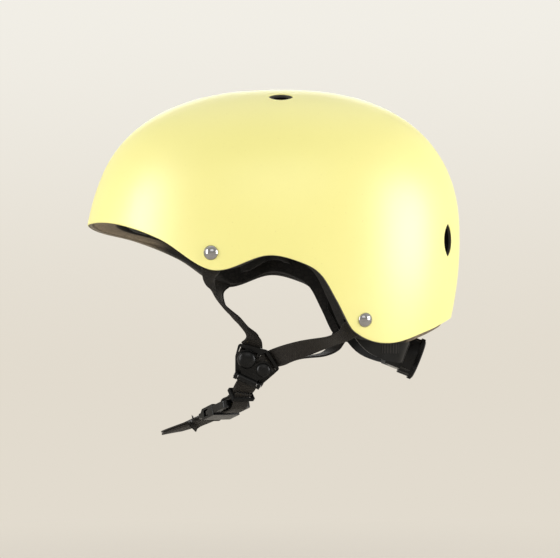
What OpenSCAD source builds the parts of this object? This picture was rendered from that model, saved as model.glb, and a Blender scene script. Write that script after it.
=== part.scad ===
// Skate helmet as worn: front to -X, wearer's left to -Y, up +Z, millimetres.
// The origin lies on the helmet's middle plane, just above the tip of the brim.

/* [Shell] */
// Reach of the shell forward of its crown point
front_len = 146; // [136:1:156]
// Reach of the shell behind its crown point
rear_len = 134.8; // [128:0.2:142]
// Half of the shell's width
half_w = 111; // [106:0.5:118]
// Height of the crown above the brim tip
crown_z = 102.5; // [96:0.5:110]
// Thickness of the hard shell
shell_t = 3; // [2.4:0.1:3.6]
// Outward kick of the brim at its tip
brim_flare = 5.8; // [3:0.2:8]
// How far the wall tucks in, 60 mm below its widest line
tuck_in = 6.9; // [4:0.1:9]

/* [Hem] */
// Fore-aft place of the low point at the temple
temple_x = -42; // [-46:1:-38]
// Depth of the temple point below the brim tip
temple_drop = 41; // [37:1:45]
// Fore-aft place of the top of the ear arch
ear_x = -3; // [-6:1:0]
// Depth of the ear arch below the brim tip
ear_drop = 31; // [28:1:34]
// Fore-aft place of the lowest point behind the ear
nape_x = 83; // [80:1:86]
// Depth of that lowest point below the brim tip
nape_drop = 91.6; // [88:0.4:96]
// Depth of the hem at the middle of the back
rear_drop = 71; // [67:1:75]

/* [Vents] */
// Width of every vent
vent_w = 13; // [9:0.5:16]
// Length of the crown vents
crown_vent_l = 18; // [15:1:24]
// Length of the rear and front vents
tall_vent_l = 24; // [18:1:28]
// Distance of the crown pair from the middle plane
crown_vent_side = 63; // [60:1:72]
// Distance of the rear pair from the middle plane
rear_vent_side = 53; // [46:1:58]

/* [Liner and pads] */
// Thickness of the foam liner
liner_t = 20; // [17:0.5:23]
// Width of the air channels in the liner
channel_w = 12; // [8:1:16]
// Depth of the air channels in the liner
channel_d = 4; // [2:0.5:6]
// Thickness of the ribbed brow pad
brow_pad_t = 9; // [6:0.5:11]
// Thickness of the other comfort pads
pad_t = 7; // [5:0.5:9]
// Thickness of the hook patches that hold the pads
hook_t = 1.2; // [0.8:0.1:1.6]

/* [Straps] */
// Width of the webbing
strap_w = 13.5; // [12:0.5:14.5]
// Thickness of the webbing
strap_t = 1.5; // [1.2:0.1:1.6]
// Radius of a rivet's domed head
rivet_r = 5.2; // [4.4:0.1:6]
// Radius of a rivet's shank
shank_r = 2.4; // [2:0.1:2.8]
// Radius of the washer behind a strap
washer_r = 6.2; // [5.4:0.1:7]

/* [Divider] */
// Width of the divider plate
divider_w = 31; // [30:0.5:34]
// How far the divider lies behind the temple point
divider_back = 29; // [24:1:34]
// How far the divider lies inside the shell's side
divider_inset = 39; // [34:1:44]
// How far the divider hangs below the temple point
divider_hang = 66.3; // [60:0.1:72]
// Thickness of the divider plate
divider_t = 2.2; // [1.8:0.1:2.6]
// Thickness of the locking lever
lever_t = 2.6; // [2:0.1:3]
// Radius of the lever's pin
lever_pin_r = 1.3; // [1.1:0.05:1.5]

/* [Buckle] */
// Width of the side-release buckle
buckle_w = 23; // [22:0.5:26]
// Thickness of the buckle's socket
buckle_t = 8.4; // [7.8:0.2:9.4]
// Length of the prongs beyond the plug's frame
prong_l = 15; // [13:0.5:16]

/* [Fit dial] */
// Diameter of the dial's rim
dial_d = 32.6; // [31:0.2:35]
// Depth of the dial from face to back
dial_t = 12.3; // [11:0.1:13]
// Downward tilt of the dial's axis in degrees
dial_tilt = 22; // [16:1:28]
// Width of the cradle housing
cradle_w = 56; // [52:1:60]
// Height of the cradle housing
cradle_h = 25; // [24:0.5:28]
// Radius of the head that the cradle curves round
nape_r = 65; // [58:1:75]
// Teeth on the drive pinion
pinion_teeth = 8; // [8:1:9]
// Thickness of each rack band
rack_t = 1.6; // [1.2:0.1:1.8]
// Travel of each rack from its middle place
rack_travel = 8; // [6:0.5:8.5]
// Height of the flexible arms
arm_h = 16; // [11:0.5:18]
// Radius of the stud that each arm turns on
stud_r = 3; // [2.4:0.1:3.6]

/* [Clearances] */
// Gap between parts that seat on each other
seat_gap = 0.5; // [0.4:0.05:0.7]
// Radial gap of a pin in its bore
run_gap = 0.06; // [0.03:0.01:0.1]
// Gap beside parts that slide past each other
slide_gap = 0.3; // [0.2:0.05:0.4]

/* [Hidden] */
$fn = 48;

// Mesh of the wall: meridians round the crown, and rings from crown to hem
meridians = 60;
rings = 16;
// Superellipse powers of the wall's section and of its plan, fuller in front
wall_power = 2.4;
rear_power = 2.15;
front_power = 2.5;
crown_x = 8;
widest_z = -10;
tuck_depth = 61;
flare_h = 20;

function lerp(a, b, t) = a + (b - a) * t;
function clamp(v, lo, hi) = min(max(v, lo), hi);
function unit(v) = v / norm(v);
function flat_list(lists) = [for (l = lists) each l];

// Wall of the helmet, inset by off from its outer face
function plan_r(phi, off) =
    let (reach = (cos(phi) < 0 ? front_len : rear_len) - off, power = cos(phi) < 0 ? front_power : rear_power)
    pow(pow(abs(cos(phi)) / reach, power) + pow(abs(sin(phi)) / (half_w - off), power), -1 / power);
function height_share(z, off) = z < widest_z
    ? 1 - tuck_in / rear_len * pow((widest_z - z) / tuck_depth, 2)
    : pow(max(0, 1 - pow((z - widest_z) / (crown_z - off - widest_z), wall_power)), 1 / wall_power);
function flare(phi, z, off) = brim_flare * max(0, 1 - off / (liner_t + shell_t))
    * pow(max(0, -cos(phi)), 6) * pow(clamp((flare_h - z) / flare_h, 0, 1.1), 1.5);
function wall_point(phi, z, off) =
    let (r = plan_r(phi, off) * height_share(z, off) + flare(phi, z, off))
    [crown_x + r * cos(phi), r * sin(phi), z];
// Height of the wall above a point of the plan
function top_z(x, y, off) =
    let (share = norm([x - crown_x, y]) / plan_r(atan2(y, x - crown_x), off))
    widest_z + (crown_z - off - widest_z) * pow(1 - pow(share, wall_power), 1 / wall_power);
// Half-width of the wall at a fore-aft place and height, on the left side
function side_point(x, z, off) =
    let (k = height_share(z, off), reach = ((x < crown_x ? front_len : rear_len) - off) * k,
        power = x < crown_x ? front_power : rear_power)
    [x, -(half_w - off) * k * pow(1 - pow(abs(x - crown_x) / reach, power), 1 / power), z];

// Hem line: height as a smooth function of the fore-aft place
brim_x = crown_x - front_len - brim_flare;
back_x = crown_x + rear_len * height_share(-rear_drop, 0);
hem_pts = [[brim_x, -1.6], [temple_x - 72, -5.7], [temple_x - 38, -18.6], [temple_x, -temple_drop],
    [ear_x, -ear_drop], [ear_x + 25, -ear_drop - 5.5], [ear_x + 38, -ear_drop - 14],
    [nape_x - 37, -nape_drop + 28.6], [nape_x - 25, -nape_drop + 8.1], [nape_x, -nape_drop],
    [nape_x + 30, -lerp(nape_drop, rear_drop, 0.45)], [back_x, -rear_drop]];
function hem_slope(i) =
    let (a = hem_pts[max(i - 1, 0)], b = hem_pts[min(i + 1, len(hem_pts) - 1)])
    (b.y - a.y) / (b.x - a.x);
function hem_span(x, i = 0) = i >= len(hem_pts) - 2 || x < hem_pts[i + 1].x ? i : hem_span(x, i + 1);
function hem_at(x) =
    let (i = hem_span(x), a = hem_pts[i], b = hem_pts[i + 1], w = b.x - a.x,
        t = clamp((x - a.x) / w, 0, 1))
    a.y * (2 * t * t * t - 3 * t * t + 1) + b.y * (3 * t * t - 2 * t * t * t)
    + w * (hem_slope(i) * (t * t * t - 2 * t * t + t) + hem_slope(i + 1) * (t * t * t - t * t));
function hem_z(phi, z = -20, tries = 4) =
    tries == 0 ? z : hem_z(phi, hem_at(wall_point(phi, z, 0).x), tries - 1);

phis = [for (i = [0:meridians - 1]) 360 * i / meridians];
hem_ring = [for (phi = phis) hem_z(phi)];
function ring(k, off, lift) =
    let (top = crown_z - off, share = cos(90 * k / rings))
    [for (i = [0:meridians - 1])
        let (low = hem_ring[i] + lift)
        wall_point(phis[i], low + (top - low) * share, off)];

// Frames are [origin, x axis, y axis, z axis]
function at(frame, p) = frame[0] + frame[1] * p.x + frame[2] * p.y + frame[3] * p.z;
function way(frame, v) = at(frame, v) - frame[0];
function frame_on(origin, z_dir, y_hint) =
    let (z = unit(z_dir), x = unit(cross(y_hint, z)))
    [origin, x, cross(z, x), z];
module in_frame(f) {
    multmatrix([[f[1].x, f[2].x, f[3].x, f[0].x], [f[1].y, f[2].y, f[3].y, f[0].y],
        [f[1].z, f[2].z, f[3].z, f[0].z], [0, 0, 0, 1]]) children();
}
module right_side() { mirror([0, 1, 0]) children(); }
module both_sides() {
    children();
    right_side() children();
}

// Closed skins from grids of points
module quads(points, faces) {
    polyhedron(points, [for (q = faces) each [[q[0], q[1], q[2]], [q[0], q[2], q[3]]]]);
}
// Rings that close on a point at either end
module pole_loft(first, loops, last) {
    n = len(loops[0]);
    m = len(loops);
    points = concat([first], flat_list(loops), [last]);
    end = len(points) - 1;
    sides = [for (k = [0:m - 2], i = [0:n - 1])
        let (a = 1 + k * n + i, b = 1 + k * n + (i + 1) % n) [a, b, b + n, a + n]];
    polyhedron(points, concat(
        [for (i = [0:n - 1]) [0, 1 + (i + 1) % n, 1 + i]],
        [for (q = sides) each [[q[0], q[1], q[2]], [q[0], q[2], q[3]]]],
        [for (i = [0:n - 1]) [end, 1 + (m - 1) * n + i, 1 + (m - 1) * n + (i + 1) % n]]));
}
// Two grids of points, front and back, joined round their edges
module slab(front, back) {
    n = len(front);
    m = len(front[0]);
    o = n * m;
    quads(concat(flat_list(front), flat_list(back)), concat(
        [for (i = [0:n - 2], j = [0:m - 2]) let (a = i * m + j) [a, a + 1, a + m + 1, a + m]],
        [for (i = [0:n - 2], j = [0:m - 2]) let (a = o + i * m + j) [a, a + m, a + m + 1, a + 1]],
        [for (i = [0:n - 2]) let (a = i * m) [a, a + m, a + m + o, a + o]],
        [for (i = [0:n - 2]) let (a = i * m + m - 1) [a + m, a, a + o, a + m + o]],
        [for (j = [0:m - 2]) [j + 1, j, j + o, j + 1 + o]],
        [for (j = [0:m - 2]) let (a = (n - 1) * m + j) [a, a + 1, a + 1 + o, a + o]]));
}

// Smooth run through keys of [x, y, z, width x, width y, width z]
function mid_curve(a, b, c, d, t) = 0.5 * (2 * b + (c - a) * t + (2 * a - 5 * b + 4 * c - d) * t * t
    + (3 * b - a - 3 * c + d) * t * t * t);
function run(keys, steps) =
    let (n = len(keys), all = concat([2 * keys[0] - keys[1]], keys, [2 * keys[n - 1] - keys[n - 2]]))
    concat([for (i = [0:n - 2], s = [0:steps - 1])
        mid_curve(all[i], all[i + 1], all[i + 2], all[i + 3], s / steps)], [keys[n - 1]]);
function place(k) = [k[0], k[1], k[2]];
function key(p, w) = [p.x, p.y, p.z, w.x, w.y, w.z];
// Flat band of webbing or moulding along such a run
module band(keys, width, thick, steps = 5) {
    path = run(keys, steps);
    last = len(path) - 1;
    sides = [for (i = [0:last])
        let (along = unit(place(path[min(i + 1, last)]) - place(path[max(i - 1, 0)])),
            raw = [path[i][3], path[i][4], path[i][5]], w = unit(raw - (raw * along) * along))
        [place(path[i]), w * width / 2, cross(w, along) * thick / 2]];
    slab([for (s = sides) [s[0] + s[2] + s[1], s[0] + s[2] - s[1]]],
        [for (s = sides) [s[0] - s[2] + s[1], s[0] - s[2] - s[1]]]);
}

// Places on the wall
function wall_frame(phi, z, y_hint) =
    let (p = wall_point(phi, z, 0), round = wall_point(phi + 0.5, z, 0) - wall_point(phi - 0.5, z, 0),
        up = wall_point(phi, z + 0.5, 0) - wall_point(phi, z - 0.5, 0))
    frame_on(p, cross(round, up), y_hint);
function crown_frame(x, y) = wall_frame(atan2(y, x - crown_x), top_z(x, y, 0), [-1, 0, 0]);
function rivet_frame(x, z) =
    let (p = side_point(x, z, 0), fore = side_point(x + 1, z, 0) - side_point(x - 1, z, 0),
        up = side_point(x, z + 1, 0) - side_point(x, z - 1, 0))
    frame_on(p, cross(fore, up), [0, 0, 1]);

// Vents: leaf shapes cut square to the wall
rear_vent_phi = -atan2(rear_vent_side, 121.5);
vent_frames = [crown_frame(6, -crown_vent_side), crown_frame(6, crown_vent_side),
    crown_frame(-58, 0), crown_frame(68, 0),
    wall_frame(rear_vent_phi, -15.4, [0, 0, 1]), wall_frame(-rear_vent_phi, -15.4, [0, 0, 1]),
    wall_frame(180, 46, [0, 0, 1])];
vent_lengths = [crown_vent_l, crown_vent_l, crown_vent_l, crown_vent_l,
    tall_vent_l, tall_vent_l, tall_vent_l];
module leaf(length, width) {
    r = (length * length + width * width) / (4 * width);
    intersection_for(side = [-1, 1]) translate([side * (r - width / 2), 0]) circle(r, $fn = 96);
}
module vent_cuts(grow, depth) {
    for (i = [0:len(vent_frames) - 1]) in_frame(vent_frames[i]) translate([0, 0, -depth])
        linear_extrude(depth + 8) leaf(vent_lengths[i] + 2 * grow, vent_w + 2 * grow);
}

// Strap rivets
front_rivet = rivet_frame(-42.9, -28.8);
rear_rivet = rivet_frame(65.5, -75.4);
module at_rivets() {
    both_sides() for (f = [front_rivet, rear_rivet]) in_frame(f) children();
}
// A flat strap needs this much room inside the curved wall
strap_rest = 1;
strap_in = shell_t + strap_rest + strap_t / 2;
washer_t = 0.8;
washer_low = strap_in + strap_t / 2 + 0.3 + washer_t;
pocket_d = washer_low + 2;

module outer_shell() {
    color([0.97, 0.93, 0.55]) difference() {
        pole_loft([crown_x, 0, crown_z], concat([for (k = [1:rings]) ring(k, 0, 0)],
            [for (k = [rings:-1:1]) ring(k, shell_t, 0)]), [crown_x, 0, crown_z - shell_t]);
        vent_cuts(0, shell_t + 6);
        at_rivets() translate([0, 0, -shell_t - 3]) cylinder(r = shank_r + run_gap, h = shell_t + 6);
    }
}

// Foam liner
liner_out = shell_t + seat_gap;
liner_in = liner_out + liner_t;
liner_lift = 2;
lip = 3;
function lip_off(k) = liner_in - lip * pow(k / rings, 14);
module channel_cut(side) {
    n = 16;
    front = [for (i = [0:n]) let (x = lerp(-88, 96, i / n))
        [for (e = [-1, 1]) let (y = side + e * channel_w / 2) [x, y, top_z(x, y, liner_in) - 12]]];
    back = [for (i = [0:n]) let (x = lerp(-88, 96, i / n))
        [for (e = [-1, 1]) let (y = side + e * channel_w / 2)
            [x, y, top_z(x, y, liner_in - channel_d)]]];
    slab(back, front);
}
module foam_liner() {
    color([0.16, 0.16, 0.17]) difference() {
        pole_loft([crown_x, 0, crown_z - liner_out],
            concat([for (k = [1:rings]) ring(k, liner_out, liner_lift)],
                [for (k = [rings:-1:1]) ring(k, lip_off(k), liner_lift)]),
            [crown_x, 0, crown_z - liner_in]);
        vent_cuts(seat_gap, liner_in + 14);
        for (side = [-36, 0, 36]) channel_cut(side);
        both_sides() for (f = [[front_rivet, front_turn], [rear_rivet, rear_turn]])
            in_frame(f[0]) rotate(f[1]) translate([-strap_w / 2 - 1.5, -24, -pocket_d])
                cube([strap_w + 3, 36.5, pocket_d + 2]);
        both_sides() in_frame(stud_frame) {
            translate([0, 0, -socket_deep - seat_gap]) cylinder(r = socket_r + run_gap, h = socket_deep + 12);
            translate([0, 0, -0.6]) cylinder(r = socket_r + 1.6, h = 12);
        }
    }
}

// Pads on the liner, over hook patches
pad_off = liner_in + hook_t + 2 * seat_gap;
function swell(u) = pow(max(0, 1 - pow(abs(2 * u - 1), 3)), 0.5);
function rib(u, ribs) = ribs == 0 ? 0 : 0.3 * pow(abs(cos(180 * ribs * u)), 6);
function pad_rise(u, v, thick, ribs) =
    thick * (0.25 + (0.75 - rib(u, ribs)) * swell(u) * swell(v));
function ring_low(phi) = hem_z(phi) + liner_lift;
module side_patch(phi_a, phi_b, low, high, thick, ribs, nu, nv, off) {
    grid = [for (i = [0:nu], front = [0]) lerp(phi_b, phi_a, i / nu)];
    slab([for (i = [0:nu]) [for (j = [0:nv])
            wall_point(grid[i], ring_low(grid[i]) + lerp(low, high, j / nv),
                off + (ribs < 0 ? thick : pad_rise(i / nu, j / nv, thick, ribs)))]],
        [for (i = [0:nu]) [for (j = [0:nv])
            wall_point(grid[i], ring_low(grid[i]) + lerp(low, high, j / nv), off)]]);
}
module brow_pad() {
    color([0.06, 0.06, 0.06]) side_patch(134, 226, 3, 30, brow_pad_t, 11, 44, 6, pad_off);
}
module left_side_pad() {
    color([0.06, 0.06, 0.06]) side_patch(246, 276, 8, 42, pad_t, 2, 12, 7, pad_off);
}
module right_side_pad() {
    color([0.06, 0.06, 0.06]) side_patch(84, 114, 8, 42, pad_t, 2, 12, 7, pad_off);
}
module rear_pad() {
    color([0.06, 0.06, 0.06]) side_patch(-34, 34, 34, 62, pad_t, 6, 24, 6, pad_off);
}
module crown_patch(x0, x1, y0, y1, thick, ribs, nx, ny, off) {
    slab([for (i = [0:nx]) [for (j = [0:ny])
            let (x = lerp(x1, x0, i / nx), y = lerp(y0, y1, j / ny))
            [x, y, top_z(x, y, off) - (ribs < 0 ? thick : pad_rise(j / ny, i / nx, thick, ribs))]]],
        [for (i = [0:nx]) [for (j = [0:ny])
            let (x = lerp(x1, x0, i / nx), y = lerp(y0, y1, j / ny)) [x, y, top_z(x, y, off)]]]);
}
module crown_pad() {
    color([0.06, 0.06, 0.06]) crown_patch(-42, 58, -30, 30, pad_t, 3, 14, 15, pad_off);
}
module hook_patches() {
    hook_off = liner_in + seat_gap;
    color([0.1, 0.1, 0.1]) {
        for (phi = [150, 180, 210]) side_patch(phi - 4, phi + 4, 9, 24, hook_t, -1, 2, 2, hook_off);
        for (phi = [261, 99]) side_patch(phi - 6, phi + 6, 15, 35, hook_t, -1, 2, 2, hook_off);
        for (phi = [-20, 20]) side_patch(phi - 5, phi + 5, 40, 56, hook_t, -1, 2, 2, hook_off);
        for (side = [-18, 18]) crown_patch(-25, -5, side - 8, side + 8, hook_t, -1, 2, 2, hook_off);
        for (side = [-18, 18]) crown_patch(20, 40, side - 8, side + 8, hook_t, -1, 2, 2, hook_off);
    }
}

module strap_rivets() {
    dome_h = 2.6;
    dome_r = (rivet_r * rivet_r + dome_h * dome_h) / (2 * dome_h);
    color([0.85, 0.85, 0.87]) at_rivets() {
        translate([0, 0, 0.4]) intersection() {
            translate([0, 0, dome_h - dome_r]) sphere(dome_r, $fn = 96);
            cylinder(r = rivet_r, h = dome_h + 1);
        }
        translate([0, 0, 0.05]) cylinder(r = rivet_r, h = 0.4);
        translate([0, 0, -washer_low - 0.5]) cylinder(r = shank_r, h = washer_low + 0.9);
        translate([0, 0, -washer_low - 0.9]) cylinder(r = shank_r + 0.9, h = 0.8);
    }
}
module rivet_washers() {
    color([0.7, 0.7, 0.72]) at_rivets() translate([0, 0, -washer_low])
        difference() {
            cylinder(r = washer_r, h = washer_t);
            translate([0, 0, -1]) cylinder(r = shank_r + run_gap, h = washer_t + 2);
        }
}

// Divider: both straps of a side meet here, under a locking lever
divider_up = unit([0.42, -0.1, 0.9]);
divider_at = [temple_x + divider_back, divider_inset - half_w, -temple_drop - divider_hang];
divider_frame = frame_on(divider_at, cross(cross(divider_up, [0, -1, 0]), divider_up), divider_up);
plate_top = -strap_t / 2 - slide_gap - 0.35;
lap_gap = 0.3;
layer_1 = -0.35;
layer_2 = layer_1 + strap_t + lap_gap;
pair_t = 2 * strap_t + lap_gap;
pair_z = (layer_1 + layer_2) / 2;
lever_pin_y = -11.4;
barrel_r = lever_pin_r + 1.4;
lever_pin_z = layer_2 + strap_t / 2 + slide_gap + barrel_r;
lever_z = layer_2 + strap_t / 2 + slide_gap;
slot_h = 5.4;
slot_w = strap_w + 0.6;
front_slot = [-7.7, 5.6, 4];
rear_slot = [7.6, 5.6, -32];
behind_bar = plate_top - divider_t - slide_gap - strap_t;
module slots_2d() {
    for (s = [front_slot, rear_slot]) translate([s.x, s.y]) rotate(s.z)
        square([slot_w, slot_h], center = true);
}
module left_divider_plate() {
    bar = 2.2;
    ear_x_in = strap_w / 2 + 1;
    color([0.07, 0.07, 0.07]) in_frame(divider_frame) {
        difference() {
            translate([0, 0, plate_top - divider_t]) linear_extrude(divider_t) hull() {
                for (s = [front_slot, rear_slot]) translate([s.x, s.y]) rotate(s.z)
                    for (e = [-1, 1]) translate([e * (slot_w / 2 - 0.2), slot_h / 2 + bar - 2])
                        circle(2, $fn = 24);
                for (e = [-1, 1]) {
                    translate([e * (divider_w / 2 - 3), 1]) circle(3, $fn = 24);
                    translate([e * (ear_x_in - 1), lever_pin_y - 0.2]) circle(3, $fn = 24);
                }
            }
            translate([0, 0, plate_top - divider_t - 1]) linear_extrude(divider_t + 2) slots_2d();
        }
        for (e = [-1, 1]) difference() {
            translate([e * (ear_x_in + 1.2) - 1.2, lever_pin_y, plate_top - 0.5]) rotate([90, 0, 90])
                linear_extrude(2.4) {
                    translate([0, lever_pin_z - plate_top + 0.5]) circle(barrel_r);
                    translate([-barrel_r, 0]) square([2 * barrel_r, lever_pin_z - plate_top + 0.5]);
                }
            translate([-divider_w, lever_pin_y, lever_pin_z]) rotate([0, 90, 0])
                cylinder(r = lever_pin_r, h = 2 * divider_w);
        }
    }
}
module left_lock_lever() {
    lobe_r = 6.3;
    color([0.05, 0.05, 0.05]) in_frame(divider_frame) difference() {
        union() {
            translate([0, 0, lever_z]) linear_extrude(lever_t) for (lobe = [[-7.2, 2.6], [7.2, 0.2]]) hull() {
                translate(lobe) circle(lobe_r, $fn = 32);
                translate([-strap_w / 2 + 0.4, lever_pin_y + barrel_r + 0.5]) square([strap_w - 0.8, 1]);
            }
            translate([-strap_w / 2 + 0.4, lever_pin_y, lever_z])
                cube([strap_w - 0.8, barrel_r + 1, lever_t]);
            translate([-strap_w / 2 - 0.4, lever_pin_y, lever_pin_z]) rotate([0, 90, 0])
                cylinder(r = barrel_r, h = strap_w + 0.8);
            for (i = [0:3]) translate([-6, -0.9 - 2.2 * i, lever_z + lever_t - 0.2])
                cube([12, 0.9, 0.7]);
        }
        translate([-divider_w, lever_pin_y, lever_pin_z]) rotate([0, 90, 0])
            cylinder(r = lever_pin_r + run_gap, h = 2 * divider_w);
    }
}
module left_lever_pin() {
    long = strap_w + 7.6;
    color([0.6, 0.6, 0.62]) in_frame(divider_frame)
        translate([-long / 2, lever_pin_y, lever_pin_z]) rotate([0, 90, 0])
            cylinder(r = lever_pin_r, h = long);
}

// Straps of the left side, worn
function seat(f, turn, along) = at(f, [along * sin(turn), -along * cos(turn), -strap_in]);
function seat_way(f, turn) = way(f, [cos(turn), sin(turn), 0]);
function in_divider(p) = at(divider_frame, p);
function slot_way(s) = way(divider_frame, [cos(s.z), sin(s.z), 0]);
function slot_point(s, up, z) =
    in_divider([s.x - sin(s.z) * up, s.y + cos(s.z) * up, z]);
divider_x = divider_frame[1];
front_turn = -4;
rear_turn = -48;
// Between its seat and its slot a strap bends away from the straight line by off
function hang(a, b, t, off, w) = key(lerp(a, b, t) + off, w);
front_a = seat(front_rivet, front_turn, 12.5);
front_b = slot_point(front_slot, 5.2, behind_bar);
front_keys = [key(seat(front_rivet, front_turn, -10), seat_way(front_rivet, front_turn)),
    key(seat(front_rivet, front_turn, 8.5), seat_way(front_rivet, front_turn)),
    key(front_a + [0, 0.4, 0], [0.95, 0.3, 0]),
    hang(front_a, front_b, 0.162, [-4.3, 2.7, 0], [0.24, 0.96, 0]),
    hang(front_a, front_b, 0.335, [-5.8, 0.8, 0], [0.06, 0.99, 0]),
    hang(front_a, front_b, 0.475, [-3.9, 0, 0], [0.1, 0.98, 0.06]),
    hang(front_a, front_b, 0.65, [1.1, -0.2, 0], [0.2, 0.96, 0.1]),
    hang(front_a, front_b, 0.798, [3.1, -0.2, 0], [0.24, 0.95, 0.05]),
    hang(front_a, front_b, 0.921, [1.9, -0.8, 0], [0.88, 0.34, -0.34]),
    key(front_b, slot_way(front_slot)),
    key(slot_point(front_slot, 1.8, behind_bar + 0.4), slot_way(front_slot)),
    key(slot_point(front_slot, -0.9, layer_1 - 1.2), slot_way(front_slot)),
    key(slot_point(front_slot, -3.2, layer_1), slot_way(front_slot)),
    key(in_divider([-3.5, -2.2, layer_1]), divider_x), key(in_divider([-0.6, -6.5, layer_1]), divider_x)];
rear_a = seat(rear_rivet, rear_turn, 12);
rear_b = slot_point(rear_slot, 5.2, behind_bar);
function rear_keys(sag, edge) = [key(seat(rear_rivet, rear_turn, -10), seat_way(rear_rivet, rear_turn)),
    key(seat(rear_rivet, rear_turn, 8), seat_way(rear_rivet, rear_turn)),
    key(rear_a + [0, 0.3, 0], [0.6, 0.25, -0.75]),
    hang(rear_a, rear_b, 0.082, [0, -0.2, -2.5 - 0.55 * sag], [0.3, 0.75, -0.6]),
    hang(rear_a, rear_b, 0.26, [0, -1.1, -2.7 - 0.85 * sag], lerp([0.2, 0.86, -0.47], [0.1, 1, -0.2], edge)),
    hang(rear_a, rear_b, 0.609, [0, -4.2, -1 - 0.55 * sag], lerp([0.2, 0.5, -0.84], [0.1, 1, -0.1], edge)),
    hang(rear_a, rear_b, 0.849, [0, -5.4, -0.2 - 0.25 * sag],
        lerp([0.35, 0.15, -0.93], [0.3, 0.8, -0.5], edge)),
    key(rear_b, slot_way(rear_slot)),
    key(slot_point(rear_slot, 1.9, behind_bar + 0.6), slot_way(rear_slot)),
    key(slot_point(rear_slot, -0.8, layer_1 - 0.2), slot_way(rear_slot)),
    key(slot_point(rear_slot, -3.2, layer_2 - 0.1), slot_way(rear_slot)),
    key(in_divider([3.5, -2, layer_2]), divider_x), key(in_divider([0.6, -6.5, layer_2]), divider_x)];
// The converging straps end where the chin strap takes over, under the lever
lap_y = -4;
module below_lap() {
    in_frame(divider_frame) translate([-30, lap_y - 30, -8]) cube([60, 30, 16]);
}
module rivet_hole(f) {
    in_frame(f) translate([0, 0, -14]) cylinder(r = shank_r + 0.2, h = 20);
}
module front_strap() {
    color([0.09, 0.09, 0.09]) difference() {
        band(front_keys, strap_w, strap_t, 4);
        rivet_hole(front_rivet);
        below_lap();
    }
}
module rear_strap(sag, edge) {
    color([0.09, 0.09, 0.09]) difference() {
        band(rear_keys(sag, edge), strap_w, strap_t, 4);
        rivet_hole(rear_rivet);
        below_lap();
    }
}

// Buckle, on the left of the chin
buckle_e = unit([-0.53, 0.8, -0.27]);
buckle_frame = let (down = [0, 0, -1], z = unit(down - (down * buckle_e) * buckle_e))
    [divider_at + [-22.6, 25, -32.7], buckle_e, cross(z, buckle_e), z];
plug_x = -19.5;
plug_front = -3;
plug_t = 5.6;
bar_r = 1.4;
frame_wall = (buckle_w - strap_w - 1) / 2;
socket_wall = 1.6;
socket_x = plug_front + slide_gap;
socket_l = prong_l + 1.5;
loop_l = 6;
function in_buckle(p) = at(buckle_frame, p);
buckle_y = buckle_frame[2];
module buckle_plug() {
    frame_l = plug_front - plug_x;
    color([0.05, 0.05, 0.05]) in_frame(buckle_frame) {
        difference() {
            translate([plug_x, 0, -plug_t / 2]) linear_extrude(plug_t) hull() for (e = [-1, 1]) {
                translate([3, e * (buckle_w / 2 - 3)]) circle(3, $fn = 32);
                translate([frame_l - 1, e * (buckle_w / 2 - 1)]) circle(1, $fn = 24);
            }
            translate([plug_x + 2.6, -strap_w / 2 - 0.5, -plug_t]) cube([4.4, strap_w + 1, 2 * plug_t]);
            translate([plug_x + 9.6, -strap_w / 2 - 0.5, -plug_t]) cube([4.2, strap_w + 1, 2 * plug_t]);
        }
        translate([plug_front - 0.5, -2, -1.6]) cube([prong_l - 2, 4, 3.2]);
    }
}
prong_out = buckle_w / 2 - socket_wall - slide_gap;
hook_x = plug_front + prong_l - 7;
module buckle_prongs() {
    color([0.05, 0.05, 0.05]) in_frame(buckle_frame) for (e = [-1, 1]) scale([1, e, 1])
        translate([0, 0, -1.7]) linear_extrude(3.4)
            polygon([[plug_front, prong_out - 3.6], [plug_front, prong_out - 0.4],
                [plug_front + 4, prong_out - 0.9], [hook_x - 0.2, prong_out - 0.9],
                [hook_x, prong_out + 1.5], [hook_x + 3.6, prong_out + 1.2],
                [hook_x + 6.6, prong_out - 2.6], [hook_x + 5.6, prong_out - 4.4],
                [hook_x, prong_out - 3.6], [plug_front + 5, prong_out - 3.4]]);
}
socket_end = socket_x + socket_l;
loop_bar = [socket_end + 4.7, 1.3, 1.8];
module bar_2d(grow) {
    translate([loop_bar.x - loop_bar.y - grow, -loop_bar.z - grow])
        square([2 * (loop_bar.y + grow), 2 * (loop_bar.z + grow)]);
}
module across_buckle(width) {
    in_frame(buckle_frame) rotate([90, 0, 0]) translate([0, 0, -width / 2])
        linear_extrude(width) children();
}
module buckle_socket() {
    half = buckle_w / 2;
    cave_w = 2 * (half - socket_wall);
    cave_t = 4;
    color([0.05, 0.05, 0.05]) difference() {
        intersection() {
            across_buckle(2 * buckle_w) polygon([[socket_x, -buckle_t / 2], [socket_end - 1.5, -buckle_t / 2],
                [socket_end + 1, -loop_bar.z], [socket_end + loop_l, -loop_bar.z],
                [socket_end + loop_l, loop_bar.z], [socket_end + 1, loop_bar.z],
                [socket_end - 1.5, buckle_t / 2], [socket_x, buckle_t / 2]]);
            in_frame(buckle_frame) translate([socket_x, 0, -buckle_t]) linear_extrude(2 * buckle_t)
                hull() for (e = [-1, 1]) {
                    translate([1, e * (half - 1)]) circle(1, $fn = 24);
                    translate([socket_l + loop_l - 3, e * (half - 3)]) circle(3, $fn = 32);
                }
        }
        in_frame(buckle_frame) {
            translate([socket_x - 1, -cave_w / 2, -cave_t / 2]) cube([socket_l - 0.5, cave_w, cave_t]);
            for (e = [-1, 1]) translate([hook_x - 0.6, e * half - 2.5, -2.4]) cube([6, 5, 4.8]);
            translate([socket_end + 0.6, -strap_w / 2 - 0.4, -buckle_t])
                cube([2.8, strap_w + 0.8, 2 * buckle_t]);
        }
    }
}

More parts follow.
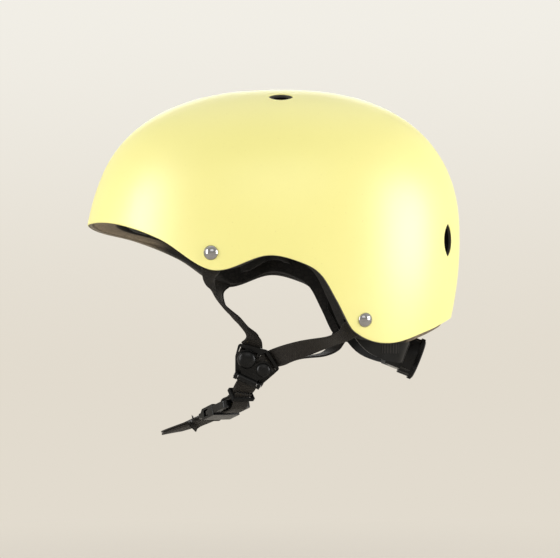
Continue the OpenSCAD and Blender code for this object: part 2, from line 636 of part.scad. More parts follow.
pair_way = way(divider_frame, [1, 0, 0]);
under_bar = -plug_t / 2 - slide_gap - pair_t / 2;
slot_b = plug_x + 11.7;
left_chin_keys = [key(in_divider([0, lap_y - 0.3, pair_z]), pair_way),
    key(in_divider([0, -10, pair_z - 0.1]), pair_way), key(in_divider([0, -15, pair_z - 0.3]), pair_way),
    key(in_buckle([plug_x - 8.5, -0.4, under_bar - 2.6]), buckle_y + [0, -0.2, -0.15]),
    key(in_buckle([plug_x - 2, 0, under_bar]), buckle_y),
    key(in_buckle([slot_b - 3, 0, under_bar]), buckle_y),
    key(in_buckle([slot_b - 0.6, 0, under_bar + 0.9]), buckle_y),
    key(in_buckle([slot_b, 0, under_bar + 2.8]), buckle_y), key(in_buckle([slot_b, 0, 0.8]), buckle_y)];
module left_chin_strap() {
    color([0.09, 0.09, 0.09]) band(left_chin_keys, strap_w, pair_t, 5);
}
// The right side's strap runs under the chin to the socket
loop_x = socket_x + socket_l + loop_l;
function flip(v) = [v.x, -v.y, v.z];
chin_a = flip(in_divider([0, -16, pair_z - 0.2]));
chin_low = [divider_at.x - 65.5, 0, divider_at.z - 50];
chin_b = in_buckle([loop_x + 8, 0, 0]);
right_chin_keys = [key(flip(in_divider([0, lap_y - 0.3, pair_z])), flip(pair_way)),
    key(flip(in_divider([0, -10, pair_z - 0.1])), flip(pair_way)), key(chin_a, flip(pair_way)),
    hang(chin_a, chin_low, 0.147, [4.4, 7.7, 0], [0.87, -0.25, -0.3]),
    hang(chin_a, chin_low, 0.541, [11.5, 19.5, 0], [0.8, -0.55, -0.1]),
    hang(chin_a, chin_low, 0.879, [6.4, 17.4, 0], [0.9, -0.35, 0.1]), key(chin_low, [0.97, 0, 0.2]),
    hang(chin_low, chin_b, 0.338, [0, -9.1, 0], [0.85, 0.5, 0.05]),
    key(chin_b, -buckle_y), key(in_buckle([loop_x + 4, 0, 0]), -buckle_y)];
module right_chin_strap() {
    color([0.09, 0.09, 0.09]) {
        band(right_chin_keys, strap_w, pair_t, 5);
        across_buckle(strap_w) difference() {
            hull() {
                bar_2d(slide_gap + strap_t);
                translate([loop_x + 3, -pair_t / 2]) square([1.2, pair_t]);
            }
            bar_2d(slide_gap);
        }
    }
}
tail_z = plug_t / 2 + strap_t / 2 + slide_gap;
tail_keys = [key(in_buckle([slot_b, 0, 1.2]), buckle_y),
    key(in_buckle([slot_b - 0.3, 0, tail_z - 0.9]), buckle_y),
    key(in_buckle([slot_b - 2, 0, tail_z]), buckle_y),
    key(in_buckle([plug_x + 1, 0, tail_z]), buckle_y),
    key(in_buckle([plug_x - 2.4, 0, tail_z - 1.4]), buckle_y),
    key(in_buckle([plug_x - 6.5, -0.3, -2.4]), buckle_y),
    key(in_buckle([plug_x - 10.4, -0.6, -4.4]), buckle_y + [0, -0.2, -0.15])];
module strap_tail() {
    color([0.09, 0.09, 0.09]) band(tail_keys, strap_w - 0.6, strap_t, 4);
}
module strap_keeper() {
    along = way(buckle_frame, unit([1, 0, 0.45]));
    keeper = frame_on(in_buckle([plug_x - 6.6, -0.2, -4.9]), along, cross(along, buckle_y));
    in_w = strap_w + 1.8;
    in_h = 7.8;
    color([0.03, 0.03, 0.03]) in_frame(keeper) translate([0, 0, -1.6]) linear_extrude(3.2)
        difference() {
            square([in_w + 2.8, in_h + 2.8], center = true);
            square([in_w, in_h], center = true);
        }
}

// Fit dial frame: z outward along the dial's axis from its outer face, y up its back
dial_in = 31;
dial_hang = 31.8;
dial_frame = [[crown_x + rear_len - dial_in, 0, -rear_drop - dial_hang], [0, 1, 0], [sin(dial_tilt), 0, cos(dial_tilt)],
    [cos(dial_tilt), 0, -sin(dial_tilt)]];
gear_module = 1;
pitch_r = gear_module * pinion_teeth / 2;
tip_r = pitch_r + 0.75 * gear_module;
root_r = pitch_r - 1.05 * gear_module;
tooth_pitch = PI * gear_module;
cover_t = 1.8;
cover_z = -dial_t - slide_gap - cover_t;
rack_1 = cover_z - 0.2 - rack_t;
rack_2 = rack_1 - 0.2 - rack_t;
cave_low = rack_2 - 0.2;
floor_t = 2.2;
head_z = cave_low - floor_t;
rack_h = cradle_h - 9.4;
screw_at = [cradle_w / 2 - 8, cradle_h / 2 - 3];
shaft_r = 2.2;
bearing_r = 3.2;
spring_t = 1.8;
knob_r = dial_d / 2 - 1.2;
rim_t = 3.6;
cheek_h = 22.4;
cheek_x = dial_d / 2 + 0.6;
housing_end = cradle_w / 2;
cover_half = housing_end - 2.2;

module at_screws() {
    for (x = [-screw_at.x, screw_at.x], y = [-screw_at.y, screw_at.y]) translate([x, y]) children();
}
module cradle_housing() {
    deep = 40;
    end_z = head_z - nape_r + sqrt(nape_r * nape_r - housing_end * housing_end);
    color([0.06, 0.06, 0.06]) in_frame(dial_frame) difference() {
        rotate([90, 0, 0]) translate([0, 0, -cradle_h / 2]) linear_extrude(cradle_h) difference() {
            hull() for (e = [-1, 1]) {
                translate([e * (housing_end - 1.5), cover_z + cover_t - 1.5]) circle(1.5, $fn = 24);
                translate([e * (housing_end - 3), end_z + 3]) circle(3, $fn = 32);
            }
            translate([0, head_z - nape_r]) circle(nape_r, $fn = 128);
        }
        for (e = [-1, 1], f = [-1, 1]) translate([e * housing_end, f * cradle_h / 2, -deep])
            linear_extrude(deep) rotate(45) square(7.6, center = true);
        translate([-cover_half - 0.15, -cradle_h / 2 + 1.2, cover_z])
            cube([2 * cover_half + 0.3, cradle_h - 2.4, 6]);
        translate([-cover_half + 1.2, -rack_h / 2 - 0.2, cave_low])
            cube([2 * cover_half - 2.4, rack_h + 0.4, 8]);
        translate([-housing_end - 1, -rack_h / 2 - 0.2, rack_1 - 0.15])
            cube([housing_end, rack_h + 0.4, rack_t + 0.3]);
        translate([1, -rack_h / 2 - 0.2, rack_2 - 0.15])
            cube([housing_end, rack_h + 0.4, rack_t + 0.3]);
        translate([0, 0, cave_low - 1.6]) cylinder(r = shaft_r + run_gap, h = 4);
        at_screws() translate([0, 0, cave_low - 1.5]) cylinder(r = 0.75, h = 20);
    }
}
module cradle_cover() {
    color([0.08, 0.08, 0.08]) in_frame(dial_frame) difference() {
        union() {
            translate([-cover_half, -cradle_h / 2 + 1.35, cover_z])
                cube([2 * cover_half, cradle_h - 2.7, cover_t]);
            translate([0, 0, cover_z]) linear_extrude(cover_t + dial_t - 4) intersection() {
                difference() {
                    circle(cheek_x + 3, $fn = 96);
                    circle(cheek_x, $fn = 96);
                }
                square([3 * cheek_x, cheek_h - 1.2], center = true);
            }
        }
        translate([0, 0, cover_z - 1]) cylinder(r = bearing_r + run_gap, h = cover_t + 2);
        at_screws() translate([0, 0, cover_z - 1]) {
            cylinder(r = 0.9, h = 6);
            translate([0, 0, cover_t]) cylinder(r = 1.65, h = 3);
        }
    }
}
module cover_screws() {
    top = cover_z + cover_t;
    color([0.5, 0.5, 0.52]) in_frame(dial_frame) at_screws() difference() {
        union() {
            translate([0, 0, top - 1]) cylinder(r = 1.5, h = 0.9);
            translate([0, 0, cave_low - 1.3]) cylinder(r = 0.75, h = top - cave_low + 0.6);
        }
        for (turn = [0, 90]) rotate(turn) translate([-1.1, -0.2, top - 0.6]) cube([2.2, 0.4, 2]);
    }
}
module nape_pad() {
    n = 12;
    m = 6;
    wide = cradle_w / 2 - 4;
    tall = cradle_h / 2 - 2.5;
    back_r = nape_r - seat_gap;
    function spot(i, j, r) = let (x = lerp(-wide, wide, i / n), y = lerp(-tall, tall, j / m))
        at(dial_frame, [x, y, head_z - nape_r + sqrt(r * r - x * x)]);
    color([0.07, 0.07, 0.07]) slab(
        [for (i = [n:-1:0]) [for (j = [0:m]) spot(i, j, back_r - pad_rise(i / n, j / m, 5, 2))]],
        [for (i = [n:-1:0]) [for (j = [0:m]) spot(i, j, back_r)]]);
}

// Dial, its pinion and the click spring
module dial_knob() {
    socket_top = 6.5;
    click_teeth = 24;
    color([0.04, 0.04, 0.04]) in_frame(dial_frame) difference() {
        union() {
            translate([0, 0, -dial_t]) linear_extrude(dial_t - 0.8)
                polygon([for (i = [0:71]) let (r = i % 4 < 2 ? knob_r : knob_r - 0.7)
                    [r * cos(5 * i), r * sin(5 * i)]]);
            translate([0, 0, -rim_t]) linear_extrude(rim_t - 0.8)
                polygon([for (i = [0:143]) let (r = i % 2 < 1 ? dial_d / 2 : dial_d / 2 - 0.6)
                    [r * cos(2.5 * i), r * sin(2.5 * i)]]);
            translate([0, 0, -0.8]) cylinder(r1 = dial_d / 2 - 0.9, r2 = dial_d / 2 - 1.6, h = 0.8);
        }
        translate([0, 0, -1.2]) difference() {
            cylinder(r = 12.2, h = 3);
            translate([0, 0, -1]) cylinder(r = 5.4, h = 5);
        }
        translate([0, 0, -2.4]) cylinder(r = 3, h = 4);
        translate([0, 0, -dial_t - 1]) linear_extrude(spring_t + 2.2) polygon([for (i = [0:2 * click_teeth - 1])
            let (r = i % 2 == 0 ? 12.6 : 11.6) [r * cos(180 * i / click_teeth + 2), r * sin(180 * i / click_teeth)]]);
        translate([0, 0, -dial_t - 1]) cylinder(r = bearing_r + 1.2, h = 4.5);
        translate([0, 0, -dial_t]) linear_extrude(socket_top) square(4.2 + 2 * run_gap, center = true);
        cylinder(r = 1.05, h = 30, center = true);
    }
}
module drive_pinion() {
    base_r = pitch_r * cos(20);
    lash = 3.2;
    function inv(r) = let (c = acos(min(1, base_r / r))) (tan(c) * 180 / PI - c);
    function half_angle(r) = 90 / pinion_teeth - lash + inv(pitch_r) - inv(max(r, base_r));
    radii = [root_r, base_r, lerp(base_r, tip_r, 0.35), lerp(base_r, tip_r, 0.7), tip_r];
    steps = len(radii) - 1;
    outline = [for (t = [0:pinion_teeth - 1]) let (mid = 90 + 360 * t / pinion_teeth) each concat(
        [for (i = [0:steps]) let (a = mid - half_angle(radii[i])) radii[i] * [cos(a), sin(a)]],
        [for (i = [steps:-1:0]) let (a = mid + half_angle(radii[i])) radii[i] * [cos(a), sin(a)]])];
    color([0.75, 0.72, 0.65]) in_frame(dial_frame) difference() {
        union() {
            translate([0, 0, rack_2]) linear_extrude(2 * rack_t + 0.2) polygon(outline);
            translate([0, 0, cave_low - 1.4]) cylinder(r = shaft_r, h = 2);
            translate([0, 0, rack_1 + rack_t]) cylinder(r = bearing_r, h = cover_t + 0.6);
            translate([0, 0, rack_1 + rack_t]) linear_extrude(cover_t + 6) square(4.2, center = true);
        }
        translate([0, 0, rack_1]) cylinder(r = 0.85, h = 20);
    }
}
module dial_screw() {
    color([0.5, 0.5, 0.52]) in_frame(dial_frame) difference() {
        union() {
            translate([0, 0, -2.4]) cylinder(r = 2.8, h = 1.4);
            translate([0, 0, rack_1 + 1]) cylinder(r = 0.85, h = -2.4 - rack_1 - 1);
        }
        for (turn = [0, 90]) rotate(turn) translate([-1.8, -0.35, -1.7]) cube([3.6, 0.7, 2]);
    }
}
module click_spring() {
    ring_r = 7.6;
    arm_r = 9.2;
    color([0.8, 0.8, 0.78]) in_frame(dial_frame) translate([0, 0, cover_z + cover_t])
        linear_extrude(spring_t) difference() {
            union() {
                circle(ring_r);
                for (turn = [0, 180]) rotate(turn) {
                    intersection() {
                        difference() {
                            circle(arm_r + 0.6);
                            circle(arm_r - 0.6);
                        }
                        polygon([[0, 0], [20, 0], [20, 22], [0, 22]]);
                    }
                    translate([0, arm_r - 0.6]) polygon([[-1, 0], [1.4, 0], [0.5, 2.4], [-0.3, 2.4]]);
                    translate([ring_r - 1, -1.4]) square([arm_r - ring_r + 1.5, 1.6]);
                }
            }
            circle(bearing_r + 0.8);
        }
}

// Racks: bands with a window, toothed along one edge of it
slot_half = rack_travel + tip_r + 0.5;
rack_tab = 5.5;
module rack_2d() {
    inner_end = slot_half + 2.6;
    outer_end = housing_end + rack_tab;
    tooth = [[-0.98, 0.2], [0.98, 0.2], [0.36, -1.7 * gear_module], [-0.36, -1.7 * gear_module]];
    teeth_y = pitch_r + 0.95 * gear_module;
    count = floor((slot_half - 1) / tooth_pitch);
    difference() {
        union() {
            translate([-housing_end, -rack_h / 2]) square([housing_end + inner_end, rack_h]);
            translate([-outer_end, -min(arm_h, rack_h) / 2]) square([outer_end, min(arm_h, rack_h)]);
        }
        difference() {
            translate([-slot_half, -tip_r - 0.4]) square([2 * slot_half, tip_r + 0.4 + teeth_y]);
            for (i = [-count:count - 1]) translate([(i + 0.5) * tooth_pitch, teeth_y]) polygon(tooth);
        }
    }
}
module left_rack() {
    color([0.13, 0.13, 0.13]) in_frame(dial_frame) translate([0, 0, rack_1])
        linear_extrude(rack_t) rack_2d();
}
module right_rack() {
    color([0.13, 0.13, 0.13]) in_frame(dial_frame) translate([0, 0, rack_2])
        linear_extrude(rack_t) rotate(180) rack_2d();
}

// Arms from the racks to studs on the liner
stud_x = nape_x - 31;
stud_z = 33.6 - nape_drop;
socket_r = 6;
socket_deep = 9;
arm_t = 2.2;
stud_frame = let (p = side_point(stud_x, stud_z, liner_in)) [[p.x, p.y + 1.2, p.z], [1, 0, 0],
    [0, 0, -1], [0, 1, 0]];
eye_z = 2.8;
module stud_sockets() {
    color([0.1, 0.1, 0.1]) both_sides() in_frame(stud_frame) difference() {
        union() {
            translate([0, 0, -socket_deep]) cylinder(r = socket_r, h = socket_deep);
            translate([0, 0, -0.2]) cylinder(r = socket_r + 1.2, h = 1.2);
        }
        translate([0, 0, -socket_deep + 1.5]) cylinder(r = 2, h = socket_deep + 1);
    }
}
module arm_studs() {
    color([0.1, 0.1, 0.1]) both_sides() in_frame(stud_frame) {
        translate([0, 0, -socket_deep + 1.7]) cylinder(r = 2, h = socket_deep);
        translate([0, 0, 1.1]) cylinder(r = stud_r, h = eye_z + arm_t - 0.6);
        translate([0, 0, eye_z + arm_t + 0.4]) cylinder(r = stud_r + 1.6, h = 1.4);
    }
}
eye = stud_frame[0] + [0, eye_z + arm_t / 2, 0];
rack_end_z = rack_1 + rack_t / 2;
arm_start = at(dial_frame, [-housing_end - rack_tab - 0.5, 0, rack_end_z]);
band_up = dial_frame[2];
// The arm follows the liner's inner face, inward from it by room
function beside_liner(tx, tz, room) =
    side_point(lerp(eye.x, arm_start.x, tx), lerp(eye.z, arm_start.z, tz), liner_in) + [0, room, 0];
arm_keys = [key(arm_start, band_up), key(arm_start + [-0.2, -4, 0], band_up),
    key(beside_liner(0.9, 1.004, -0.3), band_up), key(beside_liner(0.7, 0.96, 2.2), [0.42, 0, 0.9]),
    key(beside_liner(0.44, 0.807, 3.4), [0.5, 0, 0.87]), key(beside_liner(0.2, 0.448, 4.5), [0.8, -0.1, 0.6]),
    key([eye.x + 4.4, eye.y + 0.8, eye.z - 7.2], [0.9, 0, 0.5]),
    key([eye.x + 1.2, eye.y, eye.z - 2], [0.9, 0, 0.5])];
module flexible_arm(keys) {
    color([0.11, 0.11, 0.11]) difference() {
        union() {
            band(keys, arm_h, arm_t, 5);
            translate(eye) rotate([90, 0, 0]) cylinder(r = arm_h / 2, h = arm_t, center = true);
        }
        translate(eye) rotate([90, 0, 0]) cylinder(r = stud_r + run_gap, h = 12, center = true);
    }
}
right_arm_start = at(dial_frame, [-housing_end - rack_tab - 0.5, 0, rack_2 + rack_t / 2]);
right_arm_keys = concat([key(right_arm_start, band_up), key(right_arm_start + [-0.2, -4, 0], band_up)],
    [for (i = [2:len(arm_keys) - 1]) arm_keys[i]]);

outer_shell();
foam_liner();
brow_pad();
crown_pad();
left_side_pad();
right_side_pad();
rear_pad();
hook_patches();
strap_rivets();
rivet_washers();
front_strap();  // left_front_strap
right_side() front_strap();  // right_front_strap
rear_strap(0, 0);  // left_rear_strap
right_side() rear_strap(9, 1);  // right_rear_strap
left_divider_plate();
right_side() left_divider_plate();  // right_divider_plate
left_lock_lever();
right_side() left_lock_lever();  // right_lock_lever
left_lever_pin();
right_side() left_lever_pin();  // right_lever_pin
left_chin_strap();
right_chin_strap();
strap_tail();
strap_keeper();
buckle_plug();
buckle_prongs();
buckle_socket();
cradle_housing();
cradle_cover();
cover_screws();
nape_pad();
dial_knob();
dial_screw();
drive_pinion();
click_spring();
left_rack();
right_rack();
flexible_arm(arm_keys);  // left_arm
right_side() flexible_arm(right_arm_keys);  // right_arm
arm_studs();
stud_sockets();
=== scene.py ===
import math

import bmesh
import bpy
import numpy as np
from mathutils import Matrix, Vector


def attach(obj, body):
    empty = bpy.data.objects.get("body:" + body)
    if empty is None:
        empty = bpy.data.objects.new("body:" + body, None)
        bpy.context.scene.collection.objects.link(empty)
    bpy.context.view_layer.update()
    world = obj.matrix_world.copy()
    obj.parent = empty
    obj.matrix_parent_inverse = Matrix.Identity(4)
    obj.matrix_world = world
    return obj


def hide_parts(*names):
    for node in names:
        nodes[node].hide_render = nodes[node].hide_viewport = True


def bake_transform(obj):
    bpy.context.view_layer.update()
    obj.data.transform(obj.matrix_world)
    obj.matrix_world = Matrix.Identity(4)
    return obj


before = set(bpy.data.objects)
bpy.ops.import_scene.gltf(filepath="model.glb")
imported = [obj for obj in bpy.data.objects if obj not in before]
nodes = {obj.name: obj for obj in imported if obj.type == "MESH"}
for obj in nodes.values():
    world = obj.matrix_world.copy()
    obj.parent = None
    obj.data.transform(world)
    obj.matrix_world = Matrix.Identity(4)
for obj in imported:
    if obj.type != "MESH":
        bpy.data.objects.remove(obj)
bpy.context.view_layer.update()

# Skate helmet as worn: front to -X, wearer's left to -Y, up +Z.
# Sizes are in millimetres, as in the CAD source, and meshes are made in metres.
MM = 0.001

# Shell
FRONT_LEN, REAR_LEN, HALF_W, CROWN_Z = 146.0, 134.8, 111.0, 102.5
SHELL_T, BRIM_FLARE, TUCK_IN = 3.0, 3.4, 6.9
WALL_POWER, REAR_POWER, FRONT_POWER, CROWN_X = 2.4, 2.15, 2.5, 8.0
WIDEST_Z, TUCK_DEPTH, FLARE_H = -10.0, 61.0, 34.0
TEMPLE_X, TEMPLE_DROP, EAR_X, EAR_DROP = -42.0, 41.0, -3.0, 31.0
NAPE_X, NAPE_DROP, REAR_DROP = 83.0, 91.6, 71.0
# Vents
VENT_W, CROWN_VENT_L, TALL_VENT_L, CROWN_VENT_SIDE, REAR_VENT_SIDE = 13.0, 18.0, 24.0, 63.0, 53.0
REAR_VENT_X, REAR_VENT_Z, FRONT_VENT_Z = 121.5, -15.4, 46.0
# Liner and pads
LINER_T, CHANNEL_W, CHANNEL_D, BROW_PAD_T, PAD_T, HOOK_T = 20.0, 12.0, 4.0, 9.0, 7.0, 1.2
LINER_LIFT, LIP, BRIM_SHOW, NAPE_SHOW, NAPE_SHOW_FROM, NAPE_SHOW_TO = 2.0, 3.0, 1.5, 5.8, 94.0, 136.0
# Straps and rivets
STRAP_W, STRAP_T, RIVET_R, SHANK_R, LAP_GAP = 13.5, 1.5, 5.2, 2.4, 0.3
RIVET_PLACES = (-42.9, -28.8), (65.5, -75.4)  # x and z on the shell's side, front and rear
FRONT_TURN, REAR_TURN, LAP_Y = -4.0, -48.0, -4.0
ROW_GAP, ROW_W = 1.5, STRAP_W - 3
# Divider and buckle
DIVIDER_T, PRONG_L = 2.2, 15.0
# Fit dial
DIAL_T, DIAL_TILT, DIAL_IN, DIAL_DOWN = 12.3, 22.0, 31.0, 31.8
CRADLE_W, CRADLE_H, NAPE_R, NAPE_PAD_T, RACK_T = 56.0, 25.0, 65.0, 5.0, 1.6
# Clearances
SEAT_GAP, SLIDE_GAP = 0.5, 0.3

LINER_OUT = SHELL_T + SEAT_GAP
LINER_IN = LINER_OUT + LINER_T
PAD_OFF = LINER_IN + HOOK_T + 2 * SEAT_GAP


# Vectors and frames of [origin, x axis, y axis, z axis]
def vec(*p):
    return np.array(p, float)


def unit(v):
    v = np.asarray(v, float)
    return v / np.linalg.norm(v, axis=-1, keepdims=True)


def lerp(a, b, t):
    return a + (b - a) * t


def smooth(t):
    t = np.clip(t, 0, 1)
    return t * t * (3 - 2 * t)


def frame_on(origin, z_way, y_hint):
    z = unit(z_way)
    x = unit(np.cross(y_hint, z))
    return origin, x, np.cross(z, x), z


def at(f, p):
    return f[0] + (f[1] * p[0] + f[2] * p[1] + f[3] * p[2])


def flip(v):
    return v * vec(1, -1, 1)


# The wall of the helmet, inset by off from its outer face, with phi in degrees
def phi_of(x, y):
    return np.degrees(np.arctan2(y, x - CROWN_X))


def plan_r(phi, off):
    c, s = np.cos(np.radians(phi)), np.sin(np.radians(phi))
    reach = np.where(c < 0, FRONT_LEN, REAR_LEN) - off
    power = np.where(c < 0, FRONT_POWER, REAR_POWER)
    return (np.abs(c / reach) ** power + np.abs(s / (HALF_W - off)) ** power) ** (-1 / power)


def height_share(z, off):
    below = 1 - TUCK_IN / REAR_LEN * ((WIDEST_Z - z) / TUCK_DEPTH) ** 2
    rise = np.maximum(z - WIDEST_Z, 0) / (CROWN_Z - off - WIDEST_Z)
    above = np.maximum(0, 1 - rise ** WALL_POWER) ** (1 / WALL_POWER)
    return np.where(z < WIDEST_Z, below, above)


def brim_kick(c, z, off):
    """How far the brim stands out of the plain wall, c being the cosine of phi."""
    kick = BRIM_FLARE * np.maximum(0, 1 - off / (LINER_T + SHELL_T)) * np.maximum(0, -c) ** 6
    return kick * np.clip((FLARE_H - z) / FLARE_H, 0, 1.1) ** 1.5


def wall_point(phi, z, off):
    phi, z, off = np.broadcast_arrays(np.asarray(phi, float), z, off)
    c, s = np.cos(np.radians(phi)), np.sin(np.radians(phi))
    r = plan_r(phi, off) * height_share(z, off) + brim_kick(c, z, off)
    return np.stack([CROWN_X + r * c, r * s, z], -1)


def top_z(x, y, off):
    share = np.hypot(x - CROWN_X, y) / plan_r(phi_of(x, y), off)
    return WIDEST_Z + (CROWN_Z - off - WIDEST_Z) * np.maximum(0, 1 - share ** WALL_POWER) ** (1 / WALL_POWER)


def side_point(x, z, off):
    k = height_share(z, off)
    length, power = (FRONT_LEN, FRONT_POWER) if x < CROWN_X else (REAR_LEN, REAR_POWER)
    y = (HALF_W - off) * k * (1 - (abs(x - CROWN_X) / ((length - off) * k)) ** power) ** (1 / power)
    return vec(x, -y, z)


BRIM_X = CROWN_X - FRONT_LEN - BRIM_FLARE
BACK_X = CROWN_X + REAR_LEN * float(height_share(-REAR_DROP, 0))
HEM = np.array([
    (BRIM_X, -1.6), (TEMPLE_X - 72, -5.7), (TEMPLE_X - 38, -18.6), (TEMPLE_X, -TEMPLE_DROP), (EAR_X, -EAR_DROP),
    (EAR_X + 25, -EAR_DROP - 5.5), (EAR_X + 38, -EAR_DROP - 14), (NAPE_X - 37, -NAPE_DROP + 28.6),
    (NAPE_X - 25, -NAPE_DROP + 8.1), (NAPE_X, -NAPE_DROP),
    (NAPE_X + 30, -lerp(NAPE_DROP, REAR_DROP, 0.45)), (BACK_X, -REAR_DROP)])


def hem_at(x):
    last = len(HEM) - 1
    i = np.clip(np.searchsorted(HEM[:, 0], x, "right") - 1, 0, last - 1)
    before, after = np.maximum(np.arange(last + 1) - 1, 0), np.minimum(np.arange(last + 1) + 1, last)
    slope = (HEM[after, 1] - HEM[before, 1]) / (HEM[after, 0] - HEM[before, 0])
    w = HEM[i + 1, 0] - HEM[i, 0]
    t = np.clip((x - HEM[i, 0]) / w, 0, 1)
    line = HEM[i, 1] * (2 * t ** 3 - 3 * t ** 2 + 1) + HEM[i + 1, 1] * (3 * t ** 2 - 2 * t ** 3)
    return line + w * (slope[i] * (t ** 3 - 2 * t ** 2 + t) + slope[i + 1] * (t ** 3 - t ** 2))


def hem_z(phi):
    z = np.full_like(np.asarray(phi, float), -20)
    for _ in range(4):
        z = hem_at(wall_point(phi, z, 0)[..., 0])
    return z


# Meshes
def linked(name, data):
    """A new object in the scene."""
    obj = bpy.data.objects.new(name, data)
    bpy.context.scene.collection.objects.link(obj)
    return obj


def from_bmesh(name, bm):
    mesh = bpy.data.meshes.new(name)
    bm.to_mesh(mesh)
    bm.free()
    return linked(name, mesh)


def make(name, points, faces, uv=None):
    """A closed mesh object from points in millimetres, with its faces turned outwards."""
    mesh = bpy.data.meshes.new(name)
    mesh.from_pydata((np.asarray(points, float).reshape(-1, 3) * MM).tolist(), [], faces)
    if uv is not None:
        uv = np.asarray(uv, float).reshape(-1, 2) * MM
        layer = mesh.uv_layers.new(name="UVMap")
        corners = np.zeros(len(mesh.loops), int)
        mesh.loops.foreach_get("vertex_index", corners)
        layer.data.foreach_set("uv", uv[corners].ravel())
    bm = bmesh.new()
    bm.from_mesh(mesh)
    if bm.calc_volume(signed=True) < 0:
        bmesh.ops.reverse_faces(bm, faces=bm.faces)
    bm.to_mesh(mesh)
    bm.free()
    mesh.shade_smooth()
    return linked(name, mesh)


def strip(a, b, count, closed=True):
    """Quads between two rows of points that start at a and b."""
    ends = [(i, (i + 1) % count) for i in range(count if closed else count - 1)]
    return [(a + i, a + j, b + j, b + i) for i, j in ends]


def pole_skin(name, first, loops, last):
    """Loops of points that close on a point at either end."""
    n, m = len(loops[0]), len(loops)
    points = np.vstack([[first], *loops, [last]])
    end = len(points) - 1
    faces = [(0, 1 + (i + 1) % n, 1 + i) for i in range(n)]
    for k in range(m - 1):
        faces += strip(1 + k * n, 1 + (k + 1) * n, n)
    faces += [(end, 1 + (m - 1) * n + i, 1 + (m - 1) * n + (i + 1) % n) for i in range(n)]
    return make(name, points, faces)


def slab(name, front, back, uv):
    """Two grids of points, front and back, joined round their edges, with uv for the grid."""
    n, m = front.shape[:2]
    o = n * m
    faces = []
    for i in range(n - 1):
        faces += strip(i * m, (i + 1) * m, m, False)
        faces += [q[::-1] for q in strip(o + i * m, o + (i + 1) * m, m, False)]
        faces += [(i * m, (i + 1) * m, o + (i + 1) * m, o + i * m)]
        faces += [(i * m + m - 1, o + i * m + m - 1, o + (i + 1) * m + m - 1, (i + 1) * m + m - 1)]
    for j in range(m - 1):
        faces += [(j + 1, j, o + j, o + j + 1)]
        faces += [((n - 1) * m + j, (n - 1) * m + j + 1, o + (n - 1) * m + j + 1, o + (n - 1) * m + j)]
    return make(name, np.concatenate([front.reshape(-1, 3), back.reshape(-1, 3)]), faces,
                np.concatenate([uv.reshape(-1, 2)] * 2))


def tube(name, rings, uv=None):
    """Closed loops of points, one after another, with flat ends."""
    m, n = rings.shape[:2]
    faces = [f for k in range(m - 1) for f in strip(k * n, (k + 1) * n, n)]
    faces += [tuple(range(n - 1, -1, -1)), tuple(range((m - 1) * n, m * n))]
    return make(name, rings, faces, uv)


def prism(f, outline, low, high):
    """An outline of (x, y) carried along the z axis of frame f."""
    return tube("prism", np.array([[at(f, (x, y, z)) for x, y in outline] for z in (low, high)]))


def lathe(name, profile, f, segments=64):
    """A profile of (radius, height) turned round the z axis of frame f."""
    turn = np.radians(np.arange(segments) * 360 / segments)
    loops = [np.array([at(f, (r * math.cos(t), r * math.sin(t), z)) for t in turn]) for r, z in profile[1:-1]]
    return pole_skin(name, at(f, (0, 0, profile[0][1])), loops, at(f, (0, 0, profile[-1][1])))


def joined(name, parts):
    """Several objects as one."""
    bm = bmesh.new()
    for p in parts:
        bm.from_mesh(p.data)
        bpy.data.objects.remove(p)
    return from_bmesh(name, bm)


def settled(obj):
    """The object with its modifiers applied."""
    bpy.context.view_layer.update()
    done = bpy.data.meshes.new_from_object(obj.evaluated_get(bpy.context.evaluated_depsgraph_get()))
    obj.modifiers.clear()
    obj.data = done
    return obj


def cut(obj, cutters):
    """Takes the cutters out of the object."""
    tool = joined(obj.name + "_cutter", cutters)
    mod = obj.modifiers.new("cut", "BOOLEAN")
    mod.operation, mod.object, mod.solver = "DIFFERENCE", tool, "MANIFOLD"
    settled(obj)
    bpy.data.objects.remove(tool)
    return obj


def soft_edges(obj, sharp=40):
    """Smooth shading, sharp where faces meet at more than sharp degrees, and flat on flat faces."""
    obj.data.shade_smooth()
    obj.data.set_sharp_from_angle(angle=math.radians(sharp))
    mod = obj.modifiers.new("normals", "WEIGHTED_NORMAL")
    mod.keep_sharp = True
    return settled(obj)


def places(obj):
    """The object's points in millimetres."""
    flat = np.zeros(len(obj.data.vertices) * 3)
    obj.data.vertices.foreach_get("co", flat)
    return flat.reshape(-1, 3) / MM


def reshaped(obj, points):
    obj.data.vertices.foreach_set("co", (points * MM).ravel())
    obj.data.update()
    return obj


def mark(obj, name, values):
    """Keeps a number on each point, for a material to read."""
    obj.data.attributes.new(name, "FLOAT", "POINT").data.foreach_set("value", np.asarray(values, float))


def moulded(name, node, edge):
    """A copy of a CAD node with its edges rounded as a mould rounds them."""
    bm = bmesh.new()
    bm.from_mesh(nodes[node].data)
    bmesh.ops.remove_doubles(bm, verts=bm.verts, dist=2e-6)
    bmesh.ops.dissolve_limit(bm, angle_limit=math.radians(0.6), verts=bm.verts, edges=bm.edges)
    obj = from_bmesh(name, bm)
    mod = obj.modifiers.new("edges", "BEVEL")
    mod.width, mod.segments, mod.limit_method = edge * MM, 2, "ANGLE"
    mod.angle_limit, mod.profile, mod.use_clamp_overlap = math.radians(28), 0.6, True
    return soft_edges(settled(obj))


def paint(obj, finish):
    obj.data.materials.clear()
    obj.data.materials.append(finish[0])


def dress(obj, finish, body, *replaced):
    """Gives a finished piece its material and its body, and hides the CAD nodes that it stands for."""
    paint(obj, finish)
    if body:
        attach(obj, body)
    if replaced:
        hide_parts(*replaced)
    return obj


